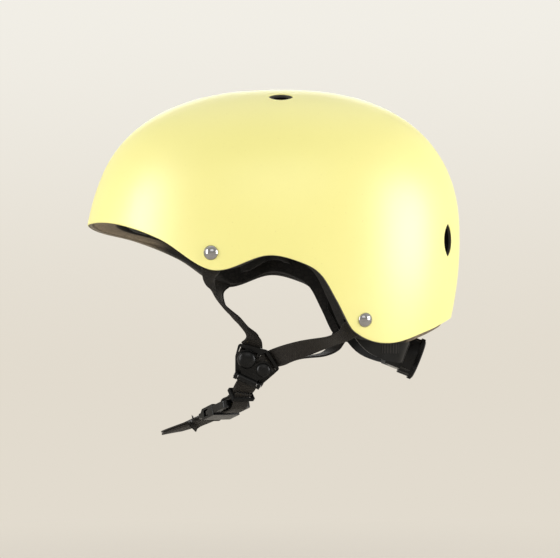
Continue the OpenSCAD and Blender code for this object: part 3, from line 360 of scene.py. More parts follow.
# Materials
class Sock:
    """A socket that can stand in a sum."""

    def __init__(self, graph, socket):
        self.graph, self.socket = graph, socket

    def math(self, operation, *values):
        return self.graph.node("ShaderNodeMath", {"operation": operation}, *values)

    def wave(self, pitch):
        """0 to 1 and back, every pitch millimetres."""
        return self.math("SINE", self * (2 * math.pi / (pitch * MM))) * 0.5 + 0.5

    def __add__(self, other):
        return self.math("ADD", self, other)

    def __rsub__(self, other):
        return self.math("SUBTRACT", other, self)

    def __mul__(self, other):
        return self.math("MULTIPLY", self, other)

    __radd__, __rmul__ = __add__, __mul__


class Graph:
    """Builds a node tree from its first node."""

    def __init__(self, tree):
        self.tree = tree
        tree.nodes.clear()

    def node(self, kind, settings=None, *values, out=0, **named):
        """A node of a type: its settings first, then the values or links of its sockets."""
        n = self.tree.nodes.new(kind)
        for key, value in (settings or {}).items():
            setattr(n, key, value)
        for i, value in enumerate(values):
            self.feed(n.inputs[i], value)
        for key, value in named.items():
            self.feed(n.inputs[key.replace("_", " ")], value)
        return Sock(self, n.outputs[out]) if n.outputs else None

    def feed(self, socket, value):
        if isinstance(value, Sock):
            self.tree.links.new(value.socket, socket)
        elif value is not None:
            socket.default_value = value

    def outs(self, kind, *values):
        """Every output of a node, by its name."""
        return {o.name: Sock(self, o) for o in self.node(kind, {}, *values).socket.node.outputs}

    def axes(self, vector):
        """The x, y and z of a vector."""
        return list(self.outs("ShaderNodeSeparateXYZ", vector).values())

    def mix(self, share, a, b):
        return self.node("ShaderNodeMix", {"data_type": "RGBA"}, share, *[None] * 5, a, b, out=2)

    def ramp(self, value, low, high, start=0.0, end=1.0, kind="LINEAR"):
        return self.node("ShaderNodeMapRange", {"interpolation_type": kind}, value, low, high, start, end)

    def band(self, value, low, high, edge):
        """1 from low to high, 0 beyond, over an edge that lies between them."""
        return self.ramp(value, low, low + edge) * (1 - self.ramp(value, high - edge, high))

    def seen_by(self, *rays):
        """1 for these kinds of ray."""
        path = self.outs("ShaderNodeLightPath")
        seen = path[rays[0]]
        for ray in rays[1:]:
            seen = seen.math("MAXIMUM", seen, path[ray])
        return seen


class Finish(Graph):
    """A material on Object coordinates, or on the piece's own UV map in metres."""

    def __init__(self, name):
        self.material = bpy.data.materials.new(name)
        self.material.use_nodes = True
        super().__init__(self.material.node_tree)
        self.place = self.node("ShaderNodeTexCoord", out="Object")

    def noise(self, size, detail=2.0, rough=0.5):
        """Noise whose features are about size millimetres wide."""
        return self.node("ShaderNodeTexNoise", {}, Vector=self.place, Scale=1 / (size * MM),
                         Detail=detail, Roughness=rough)

    def cells(self, size, feature="F1", out="Distance"):
        return self.node("ShaderNodeTexVoronoi", {"feature": feature}, Vector=self.place,
                         Scale=1 / (size * MM), out=out)

    def kept(self, name):
        """A number kept on the piece's points."""
        return self.node("ShaderNodeAttribute", {"attribute_name": name}, out="Fac")

    def bump(self, height, depth, strength=1.0):
        """A bump of depth millimetres from a height of 0 to 1."""
        return self.node("ShaderNodeBump", {}, Height=height, Distance=depth * MM, Strength=strength)

    def surface(self, colour, roughness, normal=None, **constants):
        shader = self.node("ShaderNodeBsdfPrincipled", {}, Base_Color=colour, Roughness=roughness,
                           Normal=normal, **constants)
        self.node("ShaderNodeOutputMaterial", {}, Surface=shader)
        return self.material


def srgb(r, g, b):
    """A colour of 0 to 255 as the renderer's linear values."""
    return tuple((c / 255 / 12.92 if c <= 10 else ((c / 255 + 0.055) / 1.055) ** 2.4) for c in (r, g, b)) + (1,)


def yellow_shell_finish():
    """Satin yellow outside. By the depth kept on each point, the shell's cut edge and inside faces carry painted
    shade: the edge dark olive, lighter olive at the brim, and the inside near black, with unpainted taupe plastic
    only at the brim.
    """
    g = Finish("satin_yellow_plastic")
    cloud = g.noise(60, 3)
    grain = g.noise(0.9, 3)
    speck = g.ramp(g.noise(1.6, 1), 0.74, 0.78)
    base = g.mix(cloud, srgb(242, 235, 143), srgb(246, 239, 150))
    base = g.mix(speck * 0.25, base, srgb(215, 200, 120))
    depth = g.kept("depth")
    # Painted shade: front is 1 at the brim; away from it the shell's edge is made dark olive and its inside near
    # black.
    front = 1 - g.ramp(g.axes(g.place)[0], -0.104, -0.086)
    shaded_rim = g.mix(front, srgb(44, 40, 24), srgb(92, 84, 56))
    taupe_else_painted_shade = g.mix(front, srgb(24, 22, 20), g.mix(cloud, srgb(134, 122, 103), srgb(148, 135, 116)))
    inside = g.mix(g.ramp(depth, 0.6, 0.75), shaded_rim, taupe_else_painted_shade)
    inner = g.ramp(depth, 0.1, 0.25)
    rough = g.ramp(cloud * 0.5 + grain * 0.5, 0.3, 0.7, 0.4, 0.46)
    return g.surface(g.mix(inner, base, inside), rough + inner * 0.3,
                     g.bump(grain * 0.6 + g.noise(6, 2) * 0.4, 0.05, 0.5), Specular_IOR_Level=0.9, IOR=1.6)


def foam_finish():
    """Bead foam: taupe on its lower edge at the brim and the nape, where the edge kept on its points is 1, and
    near black on its other faces, a painted shade.
    """
    g = Finish("bead_foam")
    groove = g.ramp(g.cells(3.6, "DISTANCE_TO_EDGE"), 0.0, 0.12)
    tone = g.node("ShaderNodeSeparateColor", {}, g.cells(3.6, out="Color"))
    edge = g.kept("edge")
    # Painted shade: the near black skin colour and the darker grooves stand for the shade inside the helmet away
    # from the brim and the nape.
    skin = g.mix(tone, srgb(19, 18, 17), srgb(29, 27, 25))
    base = g.mix(edge, skin, g.mix(tone, srgb(132, 120, 102), srgb(146, 133, 114)))
    base = g.mix(groove, g.mix(edge, srgb(12, 12, 11), srgb(112, 101, 86)), base)
    fine = g.noise(0.7, 2)
    return g.surface(base, g.ramp(fine, 0.3, 0.7, 0.78, 0.92), g.bump(groove * 0.8 + fine * 0.2, 0.25, 0.7),
                     Specular_IOR_Level=0.2)


def fabric_finish():
    """Brushed knit: small loops in every direction, with a soft nap."""
    g = Finish("knit_pad_fabric")
    x, y, z = g.axes(g.place)
    turn = 2 * math.pi / (1.1 * MM)
    sines = [v.math("SINE", v * turn) for v in (x, y, z)]
    cosines = [v.math("COSINE", v * turn) for v in (y, z, x)]
    loops = sines[0] * cosines[0] + sines[1] * cosines[1] + sines[2] * cosines[2]
    knit = g.ramp(loops, -1.2, 1.2)
    fuzz = g.noise(0.5, 4, 0.7)
    base = g.mix(knit * 0.6 + fuzz * 0.4, srgb(9, 9, 9), srgb(34, 33, 32))
    return g.surface(base, g.ramp(fuzz, 0.3, 0.7, 0.85, 0.97), g.bump(knit * 0.7 + fuzz * 0.3, 0.18, 0.8),
                     Sheen_Weight=0.1, Sheen_Roughness=0.5, Specular_IOR_Level=0.15)


def webbing_finish():
    g = Finish("woven_webbing")
    across, along, _ = g.axes(g.node("ShaderNodeTexCoord", out="UV"))
    column = across.math("PINGPONG", across + 0.1, 1.7 * MM)
    chevron = (along + column * 0.8).wave(1.3)
    warp = across.wave(0.57)
    fuzz = g.noise(0.35, 3, 0.6)
    height = chevron * 0.65 + warp * 0.35
    base = g.mix(height * 0.8 + fuzz * 0.2, srgb(4, 4, 4), srgb(56, 52, 47))
    return g.surface(base, g.ramp(fuzz, 0.3, 0.7, 0.55, 0.75), g.bump(height, 0.22, 0.9),
                     Sheen_Weight=0.05, Sheen_Roughness=0.4, Specular_IOR_Level=0.15)


def plastic_finish(name, colour, rough, grain=0.5, depth=0.03, shine=0.3, ticks=False):
    """Moulded plastic: sparked grain, faint rubbed patches and small tone changes, and ticks near the cradle."""
    g = Finish(name)
    fine = g.noise(grain, 3, 0.6)
    patch = g.noise(9, 3)
    lighter = tuple(c * 1.7 + 0.004 for c in colour[:3]) + (1,)
    base = g.mix(g.ramp(patch, 0.4, 0.75), colour, lighter)
    height, deep = fine, depth
    if ticks:
        x, _, z = g.axes(g.place)
        line = x.wave(2.2)
        here = g.band(x, 0.079, 0.093, 0.001) * g.band(z, -0.0985, -0.090, 0.0005)
        height, deep = fine * 0.04 + g.ramp(line, 0.45, 0.6) * here, 0.6
        base = g.mix(g.ramp(line, 0.5, 0.7) * here * 0.5, base, srgb(52, 49, 46))
    return g.surface(base, g.ramp(patch * 0.6 + fine * 0.4, 0.3, 0.7, rough - 0.07, rough + 0.07),
                     g.bump(height, deep, 0.6), Specular_IOR_Level=shine)


def metal_finish(name, colour, rough):
    """Plated metal with hairline marks."""
    g = Finish(name)
    scratch = g.noise(0.4, 3, 0.7)
    haze = g.noise(3, 2)
    return g.surface(colour, g.ramp(haze * 0.5 + scratch * 0.5, 0.3, 0.7, rough - 0.04, rough + 0.06),
                     g.bump(scratch, 0.004, 0.4), Metallic=1.0)


# Each finish with the slot that it belongs to
SHELL_YELLOW = yellow_shell_finish(), "shell_yellow"
FOAM = foam_finish(), "foam_grey"
FABRIC = fabric_finish(), "pad_fabric"
WEBBING = webbing_finish(), "webbing"
BLACK = plastic_finish("black_moulded_plastic", srgb(8, 8, 8), 0.3, shine=0.2), "black_plastic"
ARM_BLACK = plastic_finish("arm_plastic_black", srgb(9, 9, 8), 0.4, 0.8, shine=0.14, ticks=True), "arm_plastic"
RUBBER = plastic_finish("keeper_rubber_black", srgb(9, 9, 9), 0.7, 0.4, shine=0.12), "keeper_rubber"
GEAR = plastic_finish("gear_plastic_ivory", srgb(205, 200, 185), 0.4, shine=0.5), "gear_plastic"
THREAD = plastic_finish("sewing_thread", srgb(30, 29, 27), 0.6, 0.3, 0.05, 0.2), "webbing"
HOOK = plastic_finish("hook_fabric_black", srgb(16, 16, 16), 0.9, 0.6, 0.3, 0.2), "hook_fabric"
CHROME = metal_finish("chromed_rivet", srgb(160, 160, 162), 0.12), "rivet_chrome"
STEEL = metal_finish("zinc_steel", srgb(170, 170, 172), 0.3), "screw_steel"


# Shell, cut by its vents
def leaf(length, width, count=28):
    """Outline of a vent: two arcs that meet at the ends, long along y."""
    r = (length * length + width * width) / (4 * width)
    reach = math.asin(length / 2 / r)
    t = np.linspace(-reach, reach, count)
    right = [(r * math.cos(a) - r + width / 2, r * math.sin(a)) for a in t]
    return np.array(right[:-1] + [(-x, -y) for x, y in right[:-1]])


def skin_frame(skin, a, b, y_hint, step):
    """A frame on the wall's outer face, with its z axis outwards, where skin gives the wall's points."""
    over = skin(a + step, b, 0) - skin(a - step, b, 0)
    up = skin(a, b + step, 0) - skin(a, b - step, 0)
    return frame_on(skin(a, b, 0), np.cross(over, up), y_hint)


def upright_vent(phi, z):
    return skin_frame(wall_point, phi, z, (0, 0, 1), 0.5), TALL_VENT_L


def crown_vent(x, y):
    return skin_frame(wall_point, float(phi_of(x, y)), float(top_z(x, y, 0)), (-1, 0, 0), 0.5), CROWN_VENT_L


REAR_PHI = -math.degrees(math.atan2(REAR_VENT_SIDE, REAR_VENT_X))
VENTS = [crown_vent(6, -CROWN_VENT_SIDE), crown_vent(6, CROWN_VENT_SIDE), crown_vent(-58, 0), crown_vent(68, 0),
         upright_vent(REAR_PHI, REAR_VENT_Z), upright_vent(-REAR_PHI, REAR_VENT_Z),
         upright_vent(180, FRONT_VENT_Z)]


def outside(p, off):
    """Above 0 where a point lies outside the wall at that inset."""
    r = np.hypot(p[..., 0] - CROWN_X, p[..., 1])
    kick = brim_kick((p[..., 0] - CROWN_X) / np.maximum(r, 1e-6), p[..., 2], off)
    share = (r - kick) / plan_r(phi_of(p[..., 0], p[..., 1]), off)
    rise = np.maximum(p[..., 2] - WIDEST_Z, 0) / (CROWN_Z - off - WIDEST_Z)
    return np.where(p[..., 2] < WIDEST_Z, share - height_share(p[..., 2], off),
                    share ** WALL_POWER + rise ** WALL_POWER - 1)


def halved(low, high, out, turns):
    """The place between low and high beyond which out is true, by halving."""
    for _ in range(turns):
        mid = (low + high) / 2
        low, high = np.where(out(mid), [low, mid], [mid, high])
    return low


def inset(points, most):
    """How deep each point lies under the wall's outer face."""
    return halved(np.zeros(len(points)), np.full(len(points), most), lambda d: outside(points, d) > 0, 14)


def on_wall(f, outline, off):
    """The outline's points along the frame's z axis to the wall at that inset."""
    flat = np.array([at(f, (x, y, 0)) for x, y in outline])
    far = halved(np.full(len(flat), -50.0), np.full(len(flat), 14.0),
                 lambda t: outside(flat + t[:, None] * f[3], off) > 0, 40)
    return flat + far[:, None] * f[3]


def vent_cutter(f, length):
    """A cutter that rounds the vent's edge on both faces of the shell."""
    steps = [(-5, 0.9), (-1, 0.9), (0.0, 0.9), (0.03, 0.62), (0.14, 0.34), (0.36, 0.12), (0.75, 0.0),
             (SHELL_T - 0.6, 0.0), (SHELL_T - 0.2, 0.15), (SHELL_T, 0.5), (SHELL_T + 4, 0.5)]
    rings = []
    for off, g in steps:
        outline = leaf(length + 2 * g, VENT_W + 2 * g)
        rings.append(on_wall(f, outline, max(off, 0)) - min(off, 0) * f[3])
    return tube("vent_cutter", np.array(rings))


def turned(f, degrees):
    """A frame turned about its own z axis."""
    c, s = math.cos(math.radians(degrees)), math.sin(math.radians(degrees))
    return f[0], f[1] * c + f[2] * s, f[2] * c - f[1] * s, f[3]


def mirrored(f):
    """A frame of the wearer's left side on the right side, turned so that it stays right-handed."""
    return flip(f[0]), -flip(f[1]), flip(f[2]), flip(f[3])


FRONT_RIVET, REAR_RIVET = [skin_frame(side_point, x, z, (0, 0, 1), 1) for x, z in RIVET_PLACES]
RIVETS = [FRONT_RIVET, REAR_RIVET, mirrored(FRONT_RIVET), mirrored(REAR_RIVET)]
STRAP_IN = SHELL_T + 1 + STRAP_T / 2
WASHER_LOW = STRAP_IN + STRAP_T / 2 + SLIDE_GAP + 0.8
POCKET_D = WASHER_LOW + 2

MERIDIANS = 300
PHIS = np.arange(MERIDIANS) * 360 / MERIDIANS
HEM_RING = hem_z(PHIS)
HEM_X = wall_point(PHIS, HEM_RING, 0)[:, 0]


def nape_show(x):
    """1 where the foam's edge stands out under the back of the shell."""
    return smooth((x - NAPE_SHOW_FROM) / 8) * smooth((NAPE_SHOW_TO - x) / 9)


LINER_EDGE = LINER_LIFT - BRIM_SHOW * smooth((-100 - HEM_X) / 20) - NAPE_SHOW * nape_show(HEM_X)


def wall_ring(share, off, lift):
    """One ring of the wall, from 0 at the crown to 1 at the hem."""
    low = HEM_RING + lift
    return wall_point(PHIS, low + (CROWN_Z - off - low) * math.cos(math.radians(90 * share)), off)


def rod(f, r, low, high):
    return lathe("rod", [(0, low), (r, low), (r, high), (0, high)], f, 40)


def build_shell():
    rings, hem_r = 96, 1.1
    loops = [wall_ring(k / rings, 0, hem_r) for k in range(1, rings + 1)]
    for off, lift in ((0.13, 0.5), (0.42, 0.15), (1.0, 0), (2.0, 0), (2.58, 0.15), (2.87, 0.5)):
        loops.append(wall_ring(1, off, lift))
    loops += [wall_ring(k / 48, SHELL_T, hem_r) for k in range(48, 0, -1)]
    shell = pole_skin("yellow_shell", (CROWN_X, 0, CROWN_Z), loops, (CROWN_X, 0, CROWN_Z - SHELL_T))
    cut(shell, [vent_cutter(f, length) for f, length in VENTS] + [rod(f, SHANK_R + 0.06, -6, 3) for f in RIVETS])
    soft_edges(shell, 55)
    mark(shell, "depth", inset(places(shell), SHELL_T + 0.3) / SHELL_T)
    dress(shell, SHELL_YELLOW, "helmet", "outer_shell")


# Liner
STUD_AT = side_point(NAPE_X - 31, 33.6 - NAPE_DROP, LINER_IN) + vec(0, 1.2, 0)
STUD_FRAME = (STUD_AT, vec(1, 0, 0), vec(0, 0, -1), vec(0, 1, 0))
STUDS = [STUD_FRAME, mirrored(STUD_FRAME)]


def channel_rise(points):
    """How far the liner's air channels lift a point of its inner face."""
    x, y = points[:, 0], points[:, 1]
    lane = np.max([smooth((CHANNEL_W / 2 + 0.8 - np.abs(y - side)) / 1.6) for side in (-36, 0, 36)], 0)
    ends = smooth((x + 90) / 6) * smooth((98 - x) / 6)
    depth = top_z(x, y, LINER_IN - CHANNEL_D) - top_z(x, y, LINER_IN)
    return np.where(points[:, 2] > 20, lane * ends * np.minimum(depth, 8), 0)


def build_liner():
    rings = 72
    loops = [wall_ring(k / 40, LINER_OUT, LINER_EDGE + 1.6) for k in range(1, 41)]
    lip_off = LINER_IN - LIP
    for off, lift in ((0.3, 0.7), (1.0, 0.15), (2.2, 0)):
        loops.append(wall_ring(1, LINER_OUT + off, LINER_EDGE + lift))
    for off, lift in ((3.0, 0), (1.2, 0.2), (0.35, 0.9)):
        loops.append(wall_ring(1, lip_off - off, LINER_EDGE + lift))
    for k in range(rings, 0, -1):
        ring = wall_ring(k / rings, LINER_IN - LIP * (k / rings) ** 14, LINER_EDGE + 2.2)
        ring[:, 2] += channel_rise(ring)
        loops.append(ring)
    liner = pole_skin("bead_foam_liner", (CROWN_X, 0, CROWN_Z - LINER_OUT), loops,
                      (CROWN_X, 0, CROWN_Z - LINER_IN + CHANNEL_D))
    cutters = [prism(f, leaf(length + 2 * SEAT_GAP, VENT_W + 2 * SEAT_GAP), -LINER_IN - 14, 8)
               for f, length in VENTS]
    half = STRAP_W / 2 + 1.5
    pocket = [(-half, -24), (half, -24), (half, 12.5), (-half, 12.5)]
    for f, turn in zip(RIVETS, (FRONT_TURN, REAR_TURN, -FRONT_TURN, -REAR_TURN)):
        cutters.append(prism(turned(f, turn), pocket, -POCKET_D, 2))
    for f in STUDS:
        cutters += [rod(f, 6.06, -9.5, 3), rod(f, 7.6, -0.6, 11.4)]
    cut(liner, cutters)
    soft_edges(liner, 50)
    points = places(liner)
    x = points[:, 0]
    low = hem_z(phi_of(x, points[:, 1])) + LINER_LIFT
    # The edge mark is 1 on the foam's lower edge at the brim and, in part, at the nape; the finish paints shade
    # on the rest.
    taupe_else_painted_shade = smooth((18.5 - inset(points, LINER_IN + 1)) / 1.5) * smooth((-86 - x) / 18) + 0.7 * nape_show(x)
    mark(liner, "edge", smooth((3.4 - (points[:, 2] - low)) / 1.8) * np.minimum(taupe_else_painted_shade, 1))
    dress(liner, FOAM, "helmet", "foam_liner")


# Pads
def swell(u, power=3):
    return np.maximum(0, 1 - np.abs(2 * u - 1) ** power) ** 0.5


def pad_rise(u, v, thick):
    """Height of a padded sheet over its backing, crowned and drawn in at its edges."""
    return thick * (0.25 + 0.75 * swell(u) * swell(v))


def grid(nu, nv):
    """Places 0 to 1 each way, closer together near the edges."""
    def ease(n):
        t = np.linspace(0, 1, n + 1)
        return t - 0.045 * np.sin(2 * math.pi * t)
    return np.meshgrid(ease(nu), ease(nv), indexing="ij")


CLOTH_FRAMES, CLOTH_PRESSURE = 20, 4.0


def filled(obj, rest, swelling=2.2, voxel=2.2):
    """Swells a cushion as its filling does. rest gives how far each point is off the face it lies on."""
    even = obj.modifiers.new("even", "REMESH")
    even.mode, even.voxel_size = "VOXEL", voxel * MM
    settled(obj)
    start = places(obj)
    fill = obj.modifiers.new("fill", "CLOTH")
    fill.settings.use_pressure, fill.settings.uniform_pressure_force = True, CLOTH_PRESSURE
    fill.settings.effector_weights.gravity = 0.0
    fill.settings.quality = 5
    fill.point_cache.frame_start, fill.point_cache.frame_end = 1, CLOTH_FRAMES
    for frame_number in range(1, CLOTH_FRAMES + 1):
        bpy.context.scene.frame_set(frame_number)
    move = places(obj.evaluated_get(bpy.context.evaluated_depsgraph_get())) - start
    obj.modifiers.clear()
    bpy.context.scene.frame_set(1)
    far = np.linalg.norm(move, axis=1)[:, None]
    free = smooth((rest(start) - 0.4) / 2.0)[:, None]
    reshaped(obj, start + move / np.maximum(far, 1e-6) * np.minimum(far, swelling) * free)
    finer = obj.modifiers.new("finer", "SUBSURF")
    finer.levels = finer.render_levels = 1
    return settled(obj)


def cushion(name, front, back, uv, off, along, ribs, homeward, sink=0.42, **filling):
    """A slab swelled by its filling and drawn in by sewn channels between its ribs. off gives how far a
    point is off the pad's back, along its place across the ribs, and homeward the way to the back."""
    pad = filled(slab(name, front, back, np.stack(uv, -1)), off, **filling)
    points = places(pad)
    sewn = np.abs(np.cos(math.pi * ribs * np.clip(along(points), 0, 1))) ** 12
    depth = sink * np.maximum(off(points), 0) * sewn
    return soft_edges(reshaped(pad, points + depth[:, None] * homeward(points)), 80)


def side_cushion(name, phi_a, phi_b, low, high, thick, ribs):
    u, v = grid(60, 24)
    phi = lerp(phi_b, phi_a, u)
    z = hem_z(phi) + LINER_LIFT + lerp(low, high, v)

    def turn(p):
        around = phi_of(p[:, 0], p[:, 1])
        return np.where(around < phi_a - 90, around + 360, around)

    def homeward(p):
        t = np.radians(turn(p))
        return np.stack([np.cos(t), np.sin(t), 0 * t], -1)
    return cushion(name, wall_point(phi, z, PAD_OFF + pad_rise(u, v, thick)), wall_point(phi, z, PAD_OFF), (u, v),
                   lambda p: inset(p, PAD_OFF + thick + 4) - PAD_OFF,
                   lambda p: (turn(p) - phi_a) / (phi_b - phi_a), ribs, homeward)


def crown_cushion(name, x0, x1, y0, y1, thick, ribs):
    v, u = grid(60, 40)
    x, y = lerp(x1, x0, v), lerp(y0, y1, u)
    top = top_z(x, y, PAD_OFF)
    return cushion(name, np.stack([x, y, top - pad_rise(u, v, thick)], -1), np.stack([x, y, top], -1), (u, v),
                   lambda p: top_z(p[:, 0], p[:, 1], PAD_OFF) - p[:, 2],
                   lambda p: (p[:, 1] - y0) / (y1 - y0), ribs, lambda p: vec(0, 0, 1))


def build_pads():
    # Side cushions: phi from and to, heights over the liner's edge, thickness and ribs
    pads = [
        (side_cushion("ribbed_brow_cushion", 134, 226, -3, 30, BROW_PAD_T, 11), "brow_pad"),
        (side_cushion("left_side_cushion", 246, 276, 8, 42, PAD_T, 2), "left_side_pad"),
        (side_cushion("right_side_cushion", 84, 114, 8, 42, PAD_T, 2), "right_side_pad"),
        (side_cushion("rear_cushion", -34, 34, 34, 62, PAD_T, 6), "rear_pad"),
        (crown_cushion("crown_cushion", -42, 58, -30, 30, PAD_T, 3), "crown_pad")]
    for obj, node in pads:
        dress(obj, FABRIC, "helmet", node)
    dress(moulded("hook_fabric", "hook_patches", 0.3), HOOK, "helmet", "hook_patches")


# Straps
def run(keys, steps):
    """A smooth run through keys of position and width direction."""
    keys = np.array(keys, float)
    whole = np.vstack([2 * keys[0] - keys[1], keys, 2 * keys[-1] - keys[-2]])
    out = []
    for i in range(len(keys) - 1):
        a, b, c, d = whole[i:i + 4]
        for s in range(steps):
            t = s / steps
            out.append(0.5 * (2 * b + (c - a) * t + (2 * a - 5 * b + 4 * c - d) * t * t
                              + (3 * b - a - 3 * c + d) * t ** 3))
    return np.array(out + [keys[-1]])


def lengths(centre):
    """How far along a strap each point of its middle line is."""
    return np.concatenate([[0], np.cumsum(np.linalg.norm(np.diff(centre, axis=0), axis=1))])


def flat_section(width, thick, across=14, edge=4):
    """Outline of a flat strap with rounded edges, as (across, through)."""
    r = thick / 2
    half = width / 2 - r
    turn = np.linspace(-math.pi / 2, math.pi / 2, 2 * edge + 1)
    right = [(half + r * math.cos(t), r * math.sin(t)) for t in turn]
    top = [(x, r) for x in np.linspace(half, -half, across + 1)[1:-1]]
    left = [(-x, -y) for x, y in right]
    bottom = [(-x, -y) for x, y in top]
    return np.array(right + top + left + bottom)


def strap(name, keys, width=STRAP_W, shift=0.0, mirror=False, clip=None):
    """A swept strap. shift moves it through its thickness, and clip ends it below a plane."""
    path = run(keys, 12)
    centre, wide = path[:, :3], path[:, 3:]
    if clip is not None:
        origin, normal = clip
        keep = (centre - origin) @ normal > 0
        last = int(np.argmin(keep)) if not keep.all() else len(centre)
        centre, wide = centre[:last + 1], wide[:last + 1]
    along = unit(np.gradient(centre, axis=0))
    wide = unit(wide - (wide * along).sum(1)[:, None] * along)
    section = flat_section(width, STRAP_T)
    rings = (centre[:, None] + wide[:, None] * section[None, :, :1]
             + np.cross(wide, along)[:, None] * (section[None, :, 1:] + shift))
    if mirror:
        rings = flip(rings)
    uv = np.stack(np.broadcast_arrays(section[None, :, 0], lengths(centre)[:, None]), -1)
    return tube(name, rings, uv)


def on(f, *p, wide=1, lean=(0, 0, 0)):
    """A key of a strap at a place of a frame. It lies wide along the frame's axis of that number."""
    return [*at(f, p), *(f[wide] + vec(*lean))]


def hang(a, b, *rows):
    """Keys between a strap's ends: the share of the way, the place off the straight line, the width's way."""
    return [[*(lerp(a, b, t) + vec(*off)), *w] for t, off, w in rows]


DIVIDER_UP = unit((0.42, -0.1, 0.9))
DIVIDER_AT = vec(TEMPLE_X + 29, 39 - HALF_W, -TEMPLE_DROP - 66.3)
DIVIDER = frame_on(DIVIDER_AT, np.cross(np.cross(DIVIDER_UP, (0, -1, 0)), DIVIDER_UP), DIVIDER_UP)
FAR_DIVIDER = tuple(flip(v) for v in DIVIDER)
PLATE_TOP = -STRAP_T / 2 - SLIDE_GAP - 0.35
LAYER_1 = -0.35
LAYER_2 = LAYER_1 + STRAP_T + LAP_GAP
HALF_PAIR = (STRAP_T + LAP_GAP) / 2
PAIR_Z = (LAYER_1 + LAYER_2) / 2
BEHIND_BAR = PLATE_TOP - DIVIDER_T - SLIDE_GAP - STRAP_T
FRONT_SLOT, REAR_SLOT = [
    turned((at(DIVIDER, (x, 5.6, 0)), *DIVIDER[1:]), angle) for x, angle in ((-7.7, 4), (7.6, -32))]
FRONT_SEAT, REAR_SEAT = turned(FRONT_RIVET, FRONT_TURN), turned(REAR_RIVET, REAR_TURN)

FRONT_A, FRONT_B = at(FRONT_SEAT, (0, -12.5, -STRAP_IN)), at(FRONT_SLOT, (0, 5.2, BEHIND_BAR))
FRONT_KEYS = [
    on(FRONT_SEAT, 0, 10, -STRAP_IN), on(FRONT_SEAT, 0, -8.5, -STRAP_IN),
    *hang(FRONT_A, FRONT_B,
          (0, (0, 0.4, 0), (0.95, 0.3, 0)), (0.162, (-4.3, 2.7, 0), (0.24, 0.96, 0)),
          (0.335, (-5.8, 0.8, 0), (0.06, 0.99, 0)), (0.475, (-3.9, 0, 0), (0.1, 0.98, 0.06)),
          (0.65, (1.1, -0.2, 0), (0.2, 0.96, 0.1)), (0.798, (3.1, -0.2, 0), (0.24, 0.95, 0.05)),
          (0.921, (1.9, -0.8, 0), (0.88, 0.34, -0.34))),
    on(FRONT_SLOT, 0, 5.2, BEHIND_BAR), on(FRONT_SLOT, 0, 1.8, BEHIND_BAR + 0.4),
    on(FRONT_SLOT, 0, -0.9, LAYER_1 - 1.2), on(FRONT_SLOT, 0, -3.2, LAYER_1),
    on(DIVIDER, -3.5, -2.2, LAYER_1), on(DIVIDER, -0.6, -6.5, LAYER_1)]
REAR_A, REAR_B = at(REAR_SEAT, (0, -12, -STRAP_IN)), at(REAR_SLOT, (0, 5.2, BEHIND_BAR))


def rear_keys(sag, edge):
    """The rear strap, let down by sag and turned on edge by edge."""
    return [
        on(REAR_SEAT, 0, 10, -STRAP_IN), on(REAR_SEAT, 0, -8, -STRAP_IN),
        *hang(REAR_A, REAR_B,
              (0, (0, 0.3, 0), (0.6, 0.25, -0.75)),
              (0.082, (0, -0.2, -2.5 - 0.55 * sag), (0.3, 0.75, -0.6)),
              (0.26, (0, -1.1, -2.7 - 0.85 * sag), lerp(vec(0.2, 0.86, -0.47), vec(0.1, 1, -0.2), edge)),
              (0.609, (0, -4.2, -1 - 0.55 * sag), lerp(vec(0.2, 0.5, -0.84), vec(0.1, 1, -0.1), edge)),
              (0.849, (0, -5.4, -0.2 - 0.25 * sag), lerp(vec(0.35, 0.15, -0.93), vec(0.3, 0.8, -0.5), edge))),
        on(REAR_SLOT, 0, 5.2, BEHIND_BAR), on(REAR_SLOT, 0, 1.9, BEHIND_BAR + 0.6),
        on(REAR_SLOT, 0, -0.8, LAYER_1 - 0.2), on(REAR_SLOT, 0, -3.2, LAYER_2 - 0.1),
        on(DIVIDER, 3.5, -2, LAYER_2), on(DIVIDER, 0.6, -6.5, LAYER_2)]


REAR_KEYS, FAR_REAR_KEYS = rear_keys(0, 0), rear_keys(9, 1)

BUCKLE_E = unit((-0.53, 0.8, -0.27))
BUCKLE_Z = unit(vec(0, 0, -1) - (vec(0, 0, -1) @ BUCKLE_E) * BUCKLE_E)
BUCKLE = (DIVIDER_AT + vec(-22.6, 25, -32.7), BUCKLE_E, np.cross(BUCKLE_Z, BUCKLE_E), BUCKLE_Z)
BUCKLE_BACK = (BUCKLE[0], BUCKLE[1], -BUCKLE[2], BUCKLE[3])
PLUG_X, PLUG_FRONT, PLUG_T = -19.5, -3.0, 5.6
SOCKET_END = PLUG_FRONT + SLIDE_GAP + PRONG_L + 1.5
LOOP_X = SOCKET_END + 6
BAR_X, BAR_HALF_W, BAR_HALF_T = SOCKET_END + 4.7, 1.3, 1.8
SLOT_B = PLUG_X + 11.7
UNDER_BAR = -PLUG_T / 2 - SLIDE_GAP - STRAP_T - LAP_GAP / 2
TAIL_Z = PLUG_T / 2 + STRAP_T / 2 + SLIDE_GAP
HEM_LEAN = (0, -0.2, -0.15)


def through(f, *spots):
    """Keys in the buckle's middle plane, at (x, z)."""
    return [on(f, x, 0, z, wide=2) for x, z in spots]


